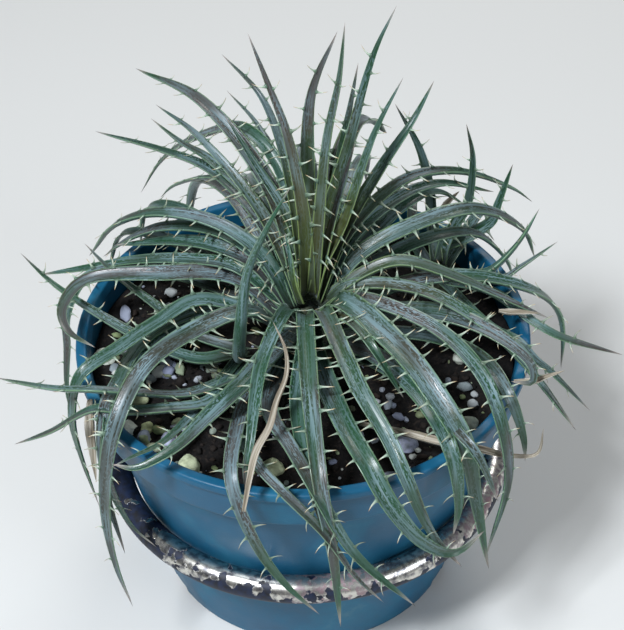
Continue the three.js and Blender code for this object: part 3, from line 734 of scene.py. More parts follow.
def leaf_skin():
    """Green cuticle under silvery scales."""
    material, tree, _ = start_material(
        "waxy_leaf_skin", IOR=1.5, Sheen_Weight=0.12, Sheen_Roughness=0.4, Sheen_Tint="#cfe0e8"
    )
    mask = leaf_masks(tree)
    given = {"Value": mask["heart"], "Value_001": mask["near"]}
    mask["heart"] = add_node(tree, "Math", given, operation="MULTIPLY")
    scales = mask["lines"]
    for name in ("bands", "specks"):
        given = {"Value": scales, "Value_001": mask[name]}
        scales = add_node(tree, "Math", given, operation="MAXIMUM")
    for name in ("patches", "fresh"):
        given = {"Value": scales, "Value_001": mask[name]}
        scales = add_node(tree, "Math", given, operation="MULTIPLY")
    mask["scales"] = scales
    given = {"Value": mask["heart"], "Value_001": mask["margin"]}
    mask["glow"] = add_node(tree, "Math", given, operation="MULTIPLY")
    coats = [
        ("bronze", "#443a37"),
        ("deep", "#162c1c"),
        ("under", "#26523a"),
        ("scales", "#809ca4"),
        ("heart", "#4a5020"),
        # painted shade towards the root of each leaf
        ("root", "#23291a"),
        ("margin", "#7c9f78"),
        ("glow", "#a4b44e"),
        ("dry", "#9c928b"),
    ]
    colour = linear("#22482d")
    for name, paint in coats:
        given = {"Factor": mask[name], "A": colour, "B": paint}
        colour = add_node(tree, "Mix", given, data_type="RGBA")
    given = {"Value": scales, "To Min": WAX_ROUGHNESS, "To Max": SCALE_ROUGHNESS}
    dullness = add_node(tree, "MapRange", given)
    return finish_material(
        material, relief=scales, depth=SKIN_RELIEF, Base_Color=colour, Roughness=dullness
    )


SKIN = leaf_skin()

# %% [markdown]
# ### Spine horn
# A spine is hard and horny, like a fingernail, with a soft shine. It is greenish
# where it leaves the margin, then cream, with a burnt orange point. Some spines
# have aged to a dull green, so each has its own tone.

# %% Spine material
def spine_horn():
    """Horn that changes colour from foot to point."""
    material, tree, _ = start_material("spine_horn", IOR=1.5, Roughness=0.4)
    share = add_node(tree, "Attribute", out="Fac", attribute_name="spine_share")
    tone = add_node(tree, "Attribute", out="Fac", attribute_name="spine_tone")
    stops = [(0.0, "#47604f"), (0.14, "#8ba28c"), (0.5, "#c6cfbc"), (0.82, "#c4ae88"), (1.0, "#8d5f3c")]
    fresh = add_node(tree, "ValToRGB", {"Fac": share}, ramp=stops)
    given = {"Value": tone, "From Min": 0.3, "From Max": 1.0, "To Min": 0.0, "To Max": 0.65}
    aged = add_node(tree, "MapRange", given)
    colour = add_node(tree, "Mix", {"Factor": aged, "A": fresh, "B": "#5b6b55"}, data_type="RGBA")
    return finish_material(material, Base_Color=colour)


HORN = spine_horn()

# %% [markdown]
# ### Stem
# The leaves clasp a short, stout stem. It hardly shows between them, but
# without it they would hang in the air. It is a turned peg down into the soil,
# roughened by a noise, in the dull olive of old leaf bases, dry and matt.

# %% Stem
STEM_BOTTOM = 80  # mm, which is under the soil
STEM_HEIGHTS = 12
STEM_SIDES = 28
STEM_DOME = 4  # 2 is a round top, and more is a flatter one
BARK_ROUGHNESS = 0.8  # mm
BARK_SIZE = 4
FIBRE_SIZE = 2.5


def stem_skin(rosette):
    """A peg with a domed top, half way up the roots of the leaves."""
    top = rosette["crown"] - rosette["root_spread"] / 2
    outline = [(0, STEM_BOTTOM)]
    for height in np.linspace(STEM_BOTTOM, top, STEM_HEIGHTS)[:-1]:
        share = (height - STEM_BOTTOM) / (top - STEM_BOTTOM)
        outline.append((rosette["stem_radius"] * math.sqrt(1 - share**STEM_DOME), height))
    points, faces = turned([*outline, (0, top)], STEM_SIDES)
    points[:, :2] += rosette["axis"]
    rough = np.array([noise.noise(Vector(p) / BARK_SIZE) for p in points])
    points[:, :2] += BARK_ROUGHNESS * rough[:, None]
    return points, faces


def old_leaf_base():
    """Dry fibre, without any shine."""
    material, tree, place = start_material("old_leaf_bases", IOR=1.4, Roughness=0.85)
    fibre = add_node(tree, "TexNoise", {"Vector": place, "Scale": 1 / (FIBRE_SIZE * MM), "Detail": 4.0})
    stops = [(0.35, "#2a2f22"), (0.55, "#4d5544"), (0.75, "#7b8073")]
    colour = add_node(tree, "ValToRGB", {"Fac": fibre}, ramp=stops)
    return finish_material(material, relief=fibre, depth=0.5, Base_Color=colour)


BASES = old_leaf_base()

# %% [markdown]
# ### Grow the rosettes
# Each rosette has its own seed, so a change to one leaves the others as they
# are. Its stem, leaves and spines are three pieces, as each has a material of
# its own, and together they stand for one node of the solid model.

# %% Grow the rosettes
FIRST_SEED = 11


def grow(rosette, seed):
    """The pieces of one rosette."""
    chance = random.Random(seed)
    stem, blades, spines = Heap(), Heap(), Heap()
    stem.add(*stem_skin(rosette))
    for index in range(len(rosette["leaves"])):
        leaf = rosette_leaf(rosette, index, chance)
        leaf.add_blade(blades)
        add_spines(spines, leaf, chance)
    parts = (("stem", stem, BASES), ("leaves", blades, SKIN), ("spines", spines, HORN))
    for part, heap, material in parts:
        piece = heap.build(f"{rosette['name']}_{part}", material)
        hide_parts(rosette["name"])


for number, rosette in enumerate(ROSETTES):
    grow(rosette, FIRST_SEED + number)

# %% [markdown]
# ## Dead leaves
# A few leaves have died off. They are thinner than living ones, folded along
# the midrib, twisted, and bleached to a pale straw grey with brown veins. They
# are made as the living leaves are, but each is a width and plain points in
# millimetres, from the end where it broke off to its tip, because they belong to
# no rosette any more.

# %% Dead leaves
DRY_LEAVES = {
    "dry_leaf_front": [
        4,
        (-18, -82, 102),
        (-16, -76, 110),
        (-14, -70, 115),
        (-10, -63, 118),
        (-8, -56, 121),
        (-5, -48, 124),
        (-5, -40, 126),
        (-9, -26, 126),
    ],
    "dry_leaf_hook": [
        5,
        (17, -45, 100),
        (30, -50, 101),
        (43, -57, 103),
        (53, -60, 103),
        (64, -50, 89),
        (72, -48, 87),
        (73, -51, 102),
    ],
    "dry_leaf_right": [4, (66, -32, 104), (72, -32, 104), (77, -31, 105), (82, -30, 106)],
    "dry_leaf_stub": [4, (64, -3, 108), (71, -4, 108), (77, -5, 108)],
    "dry_leaf_back": [4, (49, 48, 111), (52, 51, 112), (56, 55, 113)],
    "dry_leaf_left": [6, (-67, -36, 103), (-68, -38, 93), (-68, -39, 83), (-68, -40, 70)],
}
print("dead leaves:", len(DRY_LEAVES))

# %% [markdown]
# ### Straw
# A dead leaf is dry fibre like straw: the sap has gone, so it is matt, and the
# veins stand out dark and raised. The veins are stretched noise along the leaf.

# %% Straw material
VEIN_SPACING = 0.7  # mm
VEIN_LENGTH = 25


def straw():
    """Pale fibre with darker veins along the leaf."""
    material, tree, _ = start_material("dead_leaf_straw", IOR=1.4, Roughness=0.8)
    across = add_node(tree, "Attribute", out="Fac", attribute_name="leaf_across")
    run = add_node(tree, "Attribute", out="Fac", attribute_name="leaf_run")
    grid = add_node(tree, "CombineXYZ", {"X": across, "Y": run})
    given = {"Vector": grid, "Vector_001": (1 / VEIN_SPACING, 1 / VEIN_LENGTH, 0)}
    cell = add_node(tree, "VectorMath", given, operation="MULTIPLY")
    veins = add_node(tree, "TexNoise", {"Vector": cell, "Scale": 1.0, "Detail": 3.0})
    stops = [(0.32, "#5c5142"), (0.44, "#8f8675"), (0.56, "#b8b1a2"), (0.75, "#d3cfc5")]
    colour = add_node(tree, "ValToRGB", {"Fac": veins}, ramp=stops)
    return finish_material(material, relief=veins, depth=0.3, Base_Color=colour)


STRAW = straw()

# %% Fold the dead leaves
DRY_FOLD = 0.62  # width left after folding
DRY_CHANNEL = 0.55  # depth of the fold, of the width
DRY_NECK = 0.45  # share of that width where the leaf broke off
NECK_WIDENING = 2  # so a leaf has its full width from about 28% of its length on
DRY_TWIST = math.radians(70)

for name, (width, *points) in DRY_LEAVES.items():
    heap = Heap()
    leaf = Leaf(points, width * DRY_FOLD, random.Random(name), twist=DRY_TWIST)
    leaf.channel = DRY_CHANNEL
    leaf.half *= np.minimum(DRY_NECK + NECK_WIDENING * leaf.t, 1)
    leaf.add_blade(heap)
    piece = heap.build(f"{name}_skin", STRAW)
    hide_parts(name)

# %% [markdown]
# ## Pot
# The pot is an azalea pot of injection-moulded polypropylene: a thin tapered
# wall, a deep collar and a lip, all from one mould, with small slots round the
# foot to drain it. It is a turned shape, so its outline is drawn once and spun.
# Every corner of a moulding is rounded, so the outline is drawn with sharp
# corners and one function rounds them. The slots are then cut with a Boolean.

# %% Rounded corners
CORNER_STEPS = 5


def rounded(outline):
    """The outline with its corners rounded. Each point is radius, height, corner radius."""
    made = []
    for i, (r, h, corner) in enumerate(outline):
        here = np.array([r, h], float)
        if corner == 0:
            made.append(here)
            continue
        back = unit(np.array(outline[i - 1][:2], float) - here)
        ahead = unit(np.array(outline[i + 1][:2], float) - here)
        half_angle = math.acos(np.clip(back @ ahead, -1, 1)) / 2
        reach = corner / math.tan(half_angle)
        for k in range(CORNER_STEPS + 1):
            s = k / CORNER_STEPS
            made.append(here + reach * (back * (1 - s) ** 2 + ahead * s**2))
    return made


square = [(0, 0, 0), (9, 0, 2), (9, 9, 0), (0, 9, 0)]
print("points of a square with one round corner:", len(rounded(square)))

# %% Pot outline
_, rim_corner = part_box("pot")
RIM_RADIUS = rim_corner.x / MM
POT_HEIGHT = rim_corner.z / MM
POT_FOOT_RADIUS = 53
POT_WALL_TOP_RADIUS = 68.5
COLLAR_BOTTOM = 84
COLLAR_RADIUS = 72.5
COLLAR_DRAFT = 1  # how much wider it is at the lip, to come out of the mould
LIP_HEIGHT = 3.5
LIP_SLOPE = 0.5
LIP_INSET = 1  # how much narrower than the collar the mouth is
POT_WALL = 2
POT_FLOOR = 2.5
WALL_HEIGHTS = (5, 7, 10, 25, 45, 65, 75)  # rings in the wall, closer where the slots are cut


def wall_radius(height):
    """The tapered wall's outer radius at a height."""
    return POT_FOOT_RADIUS + (POT_WALL_TOP_RADIUS - POT_FOOT_RADIUS) * height / COLLAR_BOTTOM


lip_bottom = POT_HEIGHT - LIP_HEIGHT
# Radius, height and corner radius of each corner: up the outside, over the lip and down inside.
POT_OUTLINE = [
    (0, 0, 0),
    (POT_FOOT_RADIUS, 0, 1.5),
    *((wall_radius(height), height, 0) for height in WALL_HEIGHTS),
    (POT_WALL_TOP_RADIUS, COLLAR_BOTTOM, 0.6),
    (COLLAR_RADIUS, COLLAR_BOTTOM, 1.2),
    (COLLAR_RADIUS + COLLAR_DRAFT, lip_bottom, 0.4),
    (RIM_RADIUS, lip_bottom + LIP_SLOPE, 0.6),
    (RIM_RADIUS, POT_HEIGHT, 1.2),
    (COLLAR_RADIUS - LIP_INSET, POT_HEIGHT, 1),
    (COLLAR_RADIUS - POT_WALL, lip_bottom, 0.6),
    (COLLAR_RADIUS - POT_WALL, COLLAR_BOTTOM + POT_WALL, 0.8),
    (POT_WALL_TOP_RADIUS - POT_WALL, COLLAR_BOTTOM - POT_WALL, 0.8),
    (POT_FOOT_RADIUS - POT_WALL, POT_FLOOR, 1.5),
    (0, POT_FLOOR, 0),
]
print("rim radius and height, mm:", RIM_RADIUS, POT_HEIGHT)

# %% [markdown]
# ### Pot plastic
# Polypropylene comes off a slightly rough mould and has a satin surface. This
# pot has stood outside: hard water has left a chalky film in patches, and the
# colour is a little uneven under it. Where the film lies, the surface is duller
# too, and fine dust takes some of the gloss off the whole pot.

# %% Pot material
FILM_SIZE = 22
MOULD_GRAIN = 0.6  # coarser than the real grain, so that it shows


def pot_plastic():
    """Satin plastic under a chalky film."""
    material, tree, place = start_material("blue_grey_polypropylene", IOR=1.49, Specular_IOR_Level=0.35)
    film = add_node(tree, "TexNoise", {"Vector": place, "Scale": 1 / (FILM_SIZE * MM), "Detail": 6.0})
    grain = add_node(tree, "TexNoise", {"Vector": place, "Scale": 1 / (MOULD_GRAIN * MM), "Detail": 2.0})
    stops = [(0.3, "#105070"), (0.5, "#155a7a"), (0.62, "#226a88"), (0.78, "#668a94")]
    colour = add_node(tree, "ValToRGB", {"Fac": film}, ramp=stops)
    given = {"Value": film, "From Min": 0.4, "From Max": 0.7, "To Min": 0.38, "To Max": 0.62}
    dullness = add_node(tree, "MapRange", given)
    return finish_material(material, relief=grain, depth=0.04, Base_Color=colour, Roughness=dullness)


# %% Spin the pot
POT_SIDES = 160

heap = Heap()
heap.add(*turned(rounded(POT_OUTLINE), POT_SIDES))
pot = heap.build("pot_shell", pot_plastic())

# %% Cut its drain slots
DRAIN_SLOTS = 6
DRAIN_WIDTH, DRAIN_HEIGHT, DRAIN_DEPTH = 9, 3.7, 6
DRAIN_INSET = 1

cutter_mesh = bpy.data.meshes.new("slot_cutter")
shape = bmesh.new()
for i in range(DRAIN_SLOTS):
    size = Matrix.Diagonal((DRAIN_DEPTH, DRAIN_WIDTH, 2 * DRAIN_HEIGHT, 1))
    place = Matrix.Translation((POT_FOOT_RADIUS - DRAIN_INSET, 0, 0))
    turn = Matrix.Rotation((i + 0.5) / DRAIN_SLOTS * 2 * math.pi, 4, "Z")
    bmesh.ops.create_cube(shape, size=1, matrix=Matrix.Scale(MM, 4) @ turn @ place @ size)
shape.to_mesh(cutter_mesh)
cutter = bpy.data.objects.new("slot_cutter", cutter_mesh)
bpy.context.scene.collection.objects.link(cutter)
cut = pot.modifiers.new("slots", "BOOLEAN")
cut.operation = "DIFFERENCE"
cut.solver = "EXACT"
cut.object = cutter
slotted = pot.evaluated_get(bpy.context.evaluated_depsgraph_get())
cut_mesh = bpy.data.meshes.new_from_object(slotted)
pot.modifiers.clear()
pot.data = cut_mesh
bpy.data.objects.remove(cutter)
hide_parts("pot")
print("pot faces after the cut:", len(cut_mesh.polygons))

# %% [markdown]
# ## Hoop
# A hoop of chromed steel tube grips the taper of the pot. Its size is read from
# the solid model. Blender can add a torus, but here the rings are laid by hand,
# so that a noise can give the tube the slight dents of years of use.

# %% Hoop
hoop_low, hoop_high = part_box("pot_ring")
HOOP_TUBE = (hoop_high.z - hoop_low.z) / 2 / MM
HOOP_RADIUS = hoop_high.x / MM - HOOP_TUBE
HOOP_HEIGHT = (hoop_high.z + hoop_low.z) / 2 / MM
HOOP_AROUND, HOOP_SIDES = 220, 28
DENT_DEPTH = 0.12
DENT_SIZE = 9


def hoop_points():
    """Points of the tube, ring by ring."""
    for i in range(HOOP_AROUND):
        around = 2 * math.pi * i / HOOP_AROUND
        outward = Vector((math.cos(around), math.sin(around), 0))
        for s in range(HOOP_SIDES):
            angle = 2 * math.pi * s / HOOP_SIDES
            normal = outward * math.cos(angle) + Vector((0, 0, math.sin(angle)))
            place = outward * HOOP_RADIUS + Vector((0, 0, HOOP_HEIGHT)) + normal * HOOP_TUBE
            yield place + normal * DENT_DEPTH * noise.noise(place / DENT_SIZE)


def hoop_faces():
    """Faces between each ring and the next, and from the last ring to the first."""
    for i in range(HOOP_AROUND):
        for s in range(HOOP_SIDES):
            a, b = i * HOOP_SIDES, (i + 1) % HOOP_AROUND * HOOP_SIDES
            t = (s + 1) % HOOP_SIDES
            yield [a + s, b + s, b + t, a + t]


print("hoop radius and tube radius, mm:", round(HOOP_RADIUS, 1), round(HOOP_TUBE, 1))

# %% [markdown]
# ### Where the plating is left, and the shade painted under the tube
# Bare chrome is a metal: its colour is in its reflection. Where it has gone, the
# steel has a dull, dark blue skin of oxide, which is no metal. One noise decides
# which is which, with a hard edge, because plating flakes off. The way that the
# surface faces shifts it, so the underside is mostly dark: partly real wear, and
# partly painted shade and a painted dark reflection under the tube. Two spots
# shift it too: the left of the hoop is nearly stripped, and the front left has
# lost a little more than the rest.

# %% Plating, and painted shade under the tube
PATCH_SIZE = 6
# how much darker the underside is painted: partly real wear, partly painted shade
UNDERSIDE_WEAR_AND_SHADE = 0.2
SPOT_CORE = 0.2  # share of a spot's reach that is as strong as its middle
# Where it has worn more: the middle, how far it reaches, and what it adds to the noise.
STRIPPED_SPOTS = (((-68, -14, 46), 44, -0.4), ((-30, -62, 46), 62, -0.08))


def closeness(tree, place, spot, reach):
    """1 at a spot, falling to 0 at the reach, both in millimetres."""
    given = {"Vector": place, "Vector_001": Vector(spot) * MM}
    distance = add_node(tree, "VectorMath", given, out="Value", operation="DISTANCE")
    given = {"Value": distance, "From Min": SPOT_CORE * reach * MM, "From Max": reach * MM}
    return add_node(tree, "MapRange", {**given, "To Min": 1.0, "To Max": 0.0})


def plating_and_painted_shade(tree, place):
    """A field that is high where the chrome is left, and low where it has gone and on the underside, which
    is partly painted shade.
    """
    wear = add_node(tree, "TexNoise", {"Vector": place, "Scale": 1 / (PATCH_SIZE * MM), "Detail": 6.0})
    facing = add_node(tree, "NewGeometry", out="Normal")
    upward = add_node(tree, "SeparateXYZ", {"Vector": facing}, out="Z")
    # the underside is pushed towards dark oxide, partly as painted shade and a painted dark reflection
    given = {"Value": upward, "Value_001": UNDERSIDE_WEAR_AND_SHADE, "Value_002": wear}
    field = add_node(tree, "Math", given, operation="MULTIPLY_ADD")
    for spot, reach, lost in STRIPPED_SPOTS:
        stripped = closeness(tree, place, spot, reach)
        given = {"Value": stripped, "Value_001": lost, "Value_002": field}
        field = add_node(tree, "Math", given, operation="MULTIPLY_ADD")
    return field


print("stripped spots:", len(STRIPPED_SPOTS))

# %% [markdown]
# ### Worn chrome
# On the plating lies grey grime in small flecks, and pinkish rust comes through
# at two spots on the front and the right. Grime only darkens the metal, but rust
# is no metal, so it takes most of the reflection away and leaves it dull.

# %% Hoop material
GRIME_SIZE = 2
PLATED_FROM = 0.5
CHROME_EDGE = 0.015  # how soft a patch's edge is
PLATE_THICKNESS = 0.1  # far more than real plating, so that its edge shows
RUST_DULLING = 0.7  # share of the metal's reflection that rust takes
BARE_ROUGHNESS, CHROME_ROUGHNESS = 0.55, 0.27
RUST_SPOTS = (((9, -67, 49), 20), ((60, -36, 48), 24))  # the middle, and how far it reaches


def worn_chrome():
    """Chrome with grime and rust on it, and dark oxide where it has gone, more of it on the underside,
    partly as painted shade.
    """
    material, tree, place = start_material("worn_chrome_plate")
    field = plating_and_painted_shade(tree, place)
    grime = add_node(tree, "TexNoise", {"Vector": place, "Scale": 1 / (GRIME_SIZE * MM), "Detail": 5.0})
    # Each mask: what it is read from, that value's range, and the mask at either end of it.
    ranges = {
        "plated": (field, PLATED_FROM, PLATED_FROM + CHROME_EDGE, 0.0, 1.0),
        "grimy": (grime, 0.42, 0.62, 0.0, 0.9),
        "rusty": (grime, 0.45, 0.6, 0.1, 1.0),
        "dark": (grime, 0.35, 0.65, 0.0, 1.0),
    }
    mask = {}
    for name, (source, low, high, bottom, top) in ranges.items():
        given = {"Value": source, "From Min": low, "From Max": high, "To Min": bottom, "To Max": top}
        mask[name] = add_node(tree, "MapRange", given)
    close = [closeness(tree, place, *spot) for spot in RUST_SPOTS]
    close = add_node(tree, "Math", {"Value": close[0], "Value_001": close[1]}, operation="MAXIMUM")
    rust = add_node(tree, "Math", {"Value": close, "Value_001": mask["rusty"]}, operation="MULTIPLY")
    bare = {"Factor": mask["dark"], "A": "#090c15", "B": "#14223f"}
    bare = add_node(tree, "Mix", bare, data_type="RGBA")
    metal = {"Factor": mask["grimy"], "A": "#dad7ce", "B": "#6c6c72"}
    metal = add_node(tree, "Mix", metal, data_type="RGBA")
    metal = add_node(tree, "Mix", {"Factor": rust, "A": metal, "B": "#9a8084"}, data_type="RGBA")
    colour = {"Factor": mask["plated"], "A": bare, "B": metal}
    colour = add_node(tree, "Mix", colour, data_type="RGBA")
    given = {"Value": rust, "Value_001": -RUST_DULLING, "Value_002": mask["plated"]}
    metallic = add_node(tree, "Math", given, operation="MULTIPLY_ADD", use_clamp=True)
    given = {"Value": metallic, "To Min": BARE_ROUGHNESS, "To Max": CHROME_ROUGHNESS}
    dullness = add_node(tree, "MapRange", given)
    return finish_material(
        material,
        relief=mask["plated"],
        depth=PLATE_THICKNESS,
        Base_Color=colour,
        Metallic=metallic,
        Roughness=dullness,
    )


heap = Heap()
heap.add(np.array(list(hoop_points())), list(hoop_faces()))
hoop = heap.build("pot_hoop", worn_chrome())
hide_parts("pot_ring")

# %% [markdown]
# ## Soil
# Potting soil is bark, peat and grit. Its surface isn't a plane: it has humps
# and hollows, and single crumbs lie loose on it. The bed of soil is turned to
# fit the inside of the pot, and a noise bends its surface.

# %% Soil surface
SOIL_LEVEL = 90
SOIL_CLEARANCE = 0.6  # mm from the pot's wall
FLOOR_CLEARANCE = 0.3  # mm over the pot's floor and its step
SOIL_RINGS = 40
SOIL_SECTORS = 120
SOIL_WAVES = ((14, 1.6), (4, 0.8), (1.6, 0.35))  # size across and height, mm


def soil_height(x, y):
    """How high the soil's surface is at a place."""
    return SOIL_LEVEL + sum(h * noise.noise(Vector((x / size, y / size, 0))) for size, h in SOIL_WAVES)


def soil_skin():
    """The bed of soil, just clear of the pot."""
    inner = COLLAR_RADIUS - POT_WALL - SOIL_CLEARANCE
    shoulder = POT_WALL_TOP_RADIUS - POT_WALL - SOIL_CLEARANCE
    base = POT_FOOT_RADIUS - POT_WALL - SOIL_CLEARANCE
    outline = [
        (0, POT_FLOOR + FLOOR_CLEARANCE),
        (base, POT_FLOOR + FLOOR_CLEARANCE),
        (shoulder, COLLAR_BOTTOM - POT_WALL - SOIL_CLEARANCE),
        (inner, COLLAR_BOTTOM + POT_WALL + FLOOR_CLEARANCE),
    ]
    outline += [(inner * r / SOIL_RINGS, SOIL_LEVEL) for r in range(SOIL_RINGS, -1, -1)]
    points, faces = turned(outline, SOIL_SECTORS)
    for point in points:
        if point[2] == SOIL_LEVEL:
            point[2] = soil_height(point[0], point[1])
    return points, faces


print("soil height in the middle, mm:", round(soil_height(0, 0), 1))

# %% [markdown]
# ### Bark and peat
# Moist bark and peat are nearly black and quite matt. Only the fibres at the top
# of the grain have dried to a dark brown, so one noise gives the relief and the
# colour.

# %% Soil material
SOIL_GRAIN = 1.5  # mm


def potting_soil():
    """Matt, dark grains."""
    material, tree, place = start_material("bark_and_peat", IOR=1.4, Roughness=0.9)
    grain = add_node(tree, "TexNoise", {"Vector": place, "Scale": 1 / (SOIL_GRAIN * MM), "Detail": 6.0})
    stops = [(0.35, "#070606"), (0.5, "#0e0b0a"), (0.62, "#1b1512"), (0.78, "#3c342c")]
    colour = add_node(tree, "ValToRGB", {"Fac": grain}, ramp=stops)
    return finish_material(material, relief=grain, depth=0.6, Base_Color=colour)


heap = Heap()
heap.add(*soil_skin())
soil = heap.build("soil_bed", potting_soil())
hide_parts("soil")

# %% [markdown]
# ### One crumb
# A crumb is a rough ball, squashed and turned, with its underside sunk in the
# soil. One number picks its colour on a ramp, from dark bark to pale grit, so
# all of them share one mesh and one material.

# %% One crumb
SMOOTH_FROM = 2.4  # mm across, from which a crumb is a finer ball
BUMPS = (0.8, 1.2)  # how much a point of the ball is moved in or out
SQUASH = ((0.6, 1.3), (0.5, 0.9), (0.35, 0.8))  # the least and the most, along x, y and z
TILT = 0.6  # radians
FULL_TURN = 6.3  # radians, a hair over a whole turn
DARK_TINTS, PALE_TINTS = (0.0, 0.4), (0.5, 1.0)
RAISED = 0.15  # height of the middle over the soil, of its size


def rough_ball(divisions):
    """Points and faces of a ball of one millimetre radius."""
    shape = bmesh.new()
    bmesh.ops.create_icosphere(shape, subdivisions=divisions, radius=1)
    points = np.array([v.co[:] for v in shape.verts])
    faces = [[v.index for v in f.verts] for f in shape.faces]
    shape.free()
    return points, faces


def turned_by(points, chance):
    """The points, turned round by chance and tilted a little."""
    spin = Matrix.Rotation(chance.uniform(0, FULL_TURN), 3, "Z")
    tip = Matrix.Rotation(chance.uniform(-TILT, TILT), 3, "X")
    return points @ np.array(spin @ tip).T


def add_crumb(heap, x, y, size, pale, chance):
    """One crumb on the soil, of a size in millimetres."""
    ball, faces = rough_ball(2 if size > SMOOTH_FROM else 1)
    uneven = np.array([[chance.uniform(*BUMPS)] for _ in ball])
    squash = np.array([chance.uniform(*shares) for shares in SQUASH])
    points = turned_by(ball * uneven * squash * size / 2, chance)
    tint = chance.uniform(*(PALE_TINTS if pale else DARK_TINTS))
    heap.add(points + (x, y, soil_height(x, y) + size * RAISED), faces, crumb_tint=tint)


print("faces of a small and a large crumb:", [len(rough_ball(d)[1]) for d in (1, 2)])

# %% [markdown]
# ### Crumbs and grit
# Fine, mostly dark crumbs lie all over the bed, and two batches of paler, larger
# ones lie where they were sprinkled, at the left and at the front right. Nine
# bits of grit are placed one by one. A fixed seed makes the same pot come out
# each time.

# %% Crumbs and grit
CRUMB_SEED = 5
SOIL_REACH = 66
# Each batch: how many, smallest and largest mm across, share of pale ones, middle, reach.
CRUMB_BATCHES = (
    (1500, 0.8, 3.4, 0.2, (0, 0), SOIL_REACH),
    (110, 2.4, 6.0, 0.85, (-50, -22), 34),
    (45, 2.4, 5.0, 0.7, (38, -40), 26),
)
FINE_CRUMBS = 2.5  # over 1: how much more of the small ones there are
GRIT_ALLOWANCE = 1.3  # a squashed ball looks smaller than it was, so grit starts larger
# Loose grit that is big enough to be seen one by one: x, y, mm across.
GRIT = (
    (-61, 18, 4.8),
    (-46, 29, 5.2),
    (-54, -12, 4.6),
    (-41, -9, 4.0),
    (-46, -38, 3.4),
    (52, -21, 3.9),
    (54, -29, 3.5),
    (27, -28, 3.2),
    (-28, -54, 2.6),
)


def scatter_crumbs():
    """All crumbs and grit, as one heap."""
    chance = random.Random(CRUMB_SEED)
    heap = Heap()
    for count, small, large, pale_share, middle, reach in CRUMB_BATCHES:
        for _ in range(count):
            around, out = chance.uniform(0, 2 * math.pi), reach * math.sqrt(chance.random())
            x, y = middle[0] + out * math.cos(around), middle[1] + out * math.sin(around)
            size = small + (large - small) * chance.random() ** FINE_CRUMBS
            pale = chance.random() < pale_share
            if math.hypot(x, y) < SOIL_REACH:
                add_crumb(heap, x, y, size, pale, chance)
    for x, y, size in GRIT:
        add_crumb(heap, x, y, GRIT_ALLOWANCE * size, True, chance)
    return heap


loose = scatter_crumbs()
print("points of all crumbs:", loose.count)

# %% [markdown]
# ### Crumb colours
# Bark crumbs are nearly black. Grit is crushed rock and pumice: grey-green,
# lavender, and some of it nearly white. All of it is dry, porous and matt.

# %% Crumb material
CRUMB_GRAIN = 0.8  # mm


def crumb_mix():
    """Bark and grit: the first three stops of the ramp are bark, the others grit."""
    material, tree, place = start_material("soil_crumbs", IOR=1.4, Roughness=0.85)
    tint = add_node(tree, "Attribute", out="Fac", attribute_name="crumb_tint")
    stops = [
        (0.0, "#0b0908"),
        (0.2, "#17120f"),
        (0.4, "#2a211b"),
        (0.5, "#56584c"),
        (0.65, "#8b9a6c"),
        (0.8, "#8990a8"),
        (1.0, "#ccd0c6"),
    ]
    colour = add_node(tree, "ValToRGB", {"Fac": tint}, ramp=stops)
    grain = add_node(tree, "TexNoise", {"Vector": place, "Scale": 1 / (CRUMB_GRAIN * MM), "Detail": 3.0})
    return finish_material(material, relief=grain, depth=0.2, Base_Color=colour)


crumbs = loose.build("soil_crumbs", crumb_mix())

# %% [markdown]
# ### Pebbles
# Bigger pebbles were pressed into the surface by hand. Each stands for a node of
# the solid model and takes its place and size from it. A ball is worn down by
# two noises, a broad one for its shape and a fine one for its hollows.

# %% Pebble shapes
PEBBLE_BALL = 4  # divisions
LUMP_PITCH, LUMP_DEPTH = 1.3, 0.22  # lumps to a radius, and their depth, of the radius
HOLLOW_PITCH, HOLLOW_DEPTH = 5, 0.05  # the same for the hollows, to a lump
PEBBLE_APART = 7.0  # how far apart in the noise two pebbles are, so that they differ


def pebble(i):
    """Points and faces of a worn pebble in the place of its node."""
    low, high = (np.array(corner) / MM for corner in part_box(f"stone_{i + 1}"))
    ball, faces = rough_ball(PEBBLE_BALL)
    worn = []
    for point in ball:
        place = Vector(point) * LUMP_PITCH + Vector((PEBBLE_APART * i, 0, 0))
        swell = 1 + LUMP_DEPTH * noise.noise(place) + HOLLOW_DEPTH * noise.noise(place * HOLLOW_PITCH)
        worn.append(point * swell)
    return (low + high) / 2 + np.array(worn) * (high - low) / 2, faces


print("points of a pebble:", len(pebble(0)[0]))

# %% [markdown]
# ### Pumice
# The pebbles are pumice, a glass froth: dry, matt and full of pits, with dirt in
# some of them. Some are cream to white, some are green with algae, and a few are
# lavender grey, so each has a tint that picks its colour on a ramp.

# %% Pebble material
PIT_SIZE = 2.2  # mm
PEBBLE_TINTS = (0.1, 0.85, 0.15, 0.45, 0.0, 0.5, 0.55, 0.5, 0.6, 0.9, 0.4, 0.55, 0.95, 0.2, 0.1)


def pumice():
    """Matt, pitted stone with dirt in its pits."""
    material, tree, place = start_material("pumice_pebble", IOR=1.5, Roughness=0.8)
    tint = add_node(tree, "Attribute", out="Fac", attribute_name="pebble_tint")
    pits = add_node(tree, "TexNoise", {"Vector": place, "Scale": 1 / (PIT_SIZE * MM), "Detail": 6.0})
    stops = [(0.0, "#e4e9de"), (0.25, "#d2dac6"), (0.5, "#c6cf9c"), (0.7, "#c8cebe"), (0.9, "#abb1c8")]
    colour = add_node(tree, "ValToRGB", {"Fac": tint}, ramp=stops)
    given = {"Value": pits, "From Min": 0.5, "From Max": 0.68, "To Min": 0.0, "To Max": 0.5}
    stain = add_node(tree, "MapRange", given)
    colour = add_node(tree, "Mix", {"Factor": stain, "A": colour, "B": "#6a7152"}, data_type="RGBA")
    return finish_material(material, relief=pits, depth=0.4, Base_Color=colour)


PUMICE = pumice()

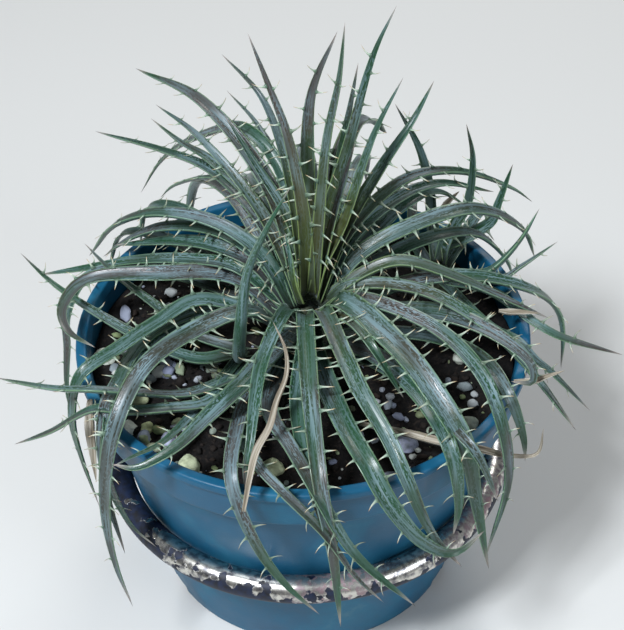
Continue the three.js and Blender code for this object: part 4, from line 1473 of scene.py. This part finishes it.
# %% Set the pebbles
for i, tint in enumerate(PEBBLE_TINTS):
    heap = Heap()
    heap.add(*pebble(i), pebble_tint=tint)
    piece = heap.build(f"pebble_{i + 1}", PUMICE)
    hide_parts(f"stone_{i + 1}")

# %% [markdown]
# ## Studio
# The plant stands on a pale sheet of matt card. It is wide enough to fill the
# view, and it belongs to the studio, not to the plant.

# %% Floor
FLOOR_HALF = 3.0  # m, from the middle to an edge

floor_mesh = bpy.data.meshes.new("floor")
corners = [(-FLOOR_HALF, -FLOOR_HALF, 0), (FLOOR_HALF, -FLOOR_HALF, 0)]
corners += [(FLOOR_HALF, FLOOR_HALF, 0), (-FLOOR_HALF, FLOOR_HALF, 0)]
floor_mesh.from_pydata(corners, [], [(0, 1, 2, 3)])
floor = bpy.data.objects.new("floor", floor_mesh)
bpy.context.scene.collection.objects.link(floor)
card, _, _ = start_material("studio_floor", Base_Color="#d6d6d2", Roughness=0.9)
floor_mesh.materials.append(card)
print("floor, m across:", 2 * FLOOR_HALF)

# %% [markdown]
# ### Lamps
# Three soft lamps light it: a key from the front left, small enough that the
# leaves throw shadows with an edge, a weaker fill from the right, and a broad
# one behind that draws a line of light round the leaves. A faint even sky keeps
# the shadows open.

# %% Lamps and sky
# Each lamp: its place and its width in metres, its power in watts, and its colour.
LAMPS = {
    "key": ((-0.42, -0.5, 1.0), 0.2, 15, "#f2f7ff"),
    "fill": ((0.7, -0.6, 0.6), 0.4, 3, "#eef4ff"),
    "rim": ((0.3, 0.9, 0.9), 0.5, 5, "#ffffff"),
}
SKY_STRENGTH = 0.23


def soft_lamp(name, place, size, power, colour):
    """A square lamp, facing the middle of the plant."""
    data = bpy.data.lights.new(name, "AREA")
    data.size = size
    data.energy = power
    data.color = linear(colour)[:3]
    lamp = bpy.data.objects.new(name, data)
    bpy.context.scene.collection.objects.link(lamp)
    lamp.location = place
    lamp.rotation_euler = (Vector(place) - VIEW_TARGET).to_track_quat("Z", "Y").to_euler()


for name, settings in LAMPS.items():
    soft_lamp(name, *settings)
bpy.context.scene.view_settings.view_transform = "Standard"

sky = bpy.data.worlds.new("sky")
sky.use_nodes = True
bpy.context.scene.world = sky
backdrop = sky.node_tree.nodes["Background"]
backdrop.inputs["Color"].default_value = linear("#dfe3e8")
backdrop.inputs["Strength"].default_value = SKY_STRENGTH
print("lamps:", ", ".join(LAMPS))
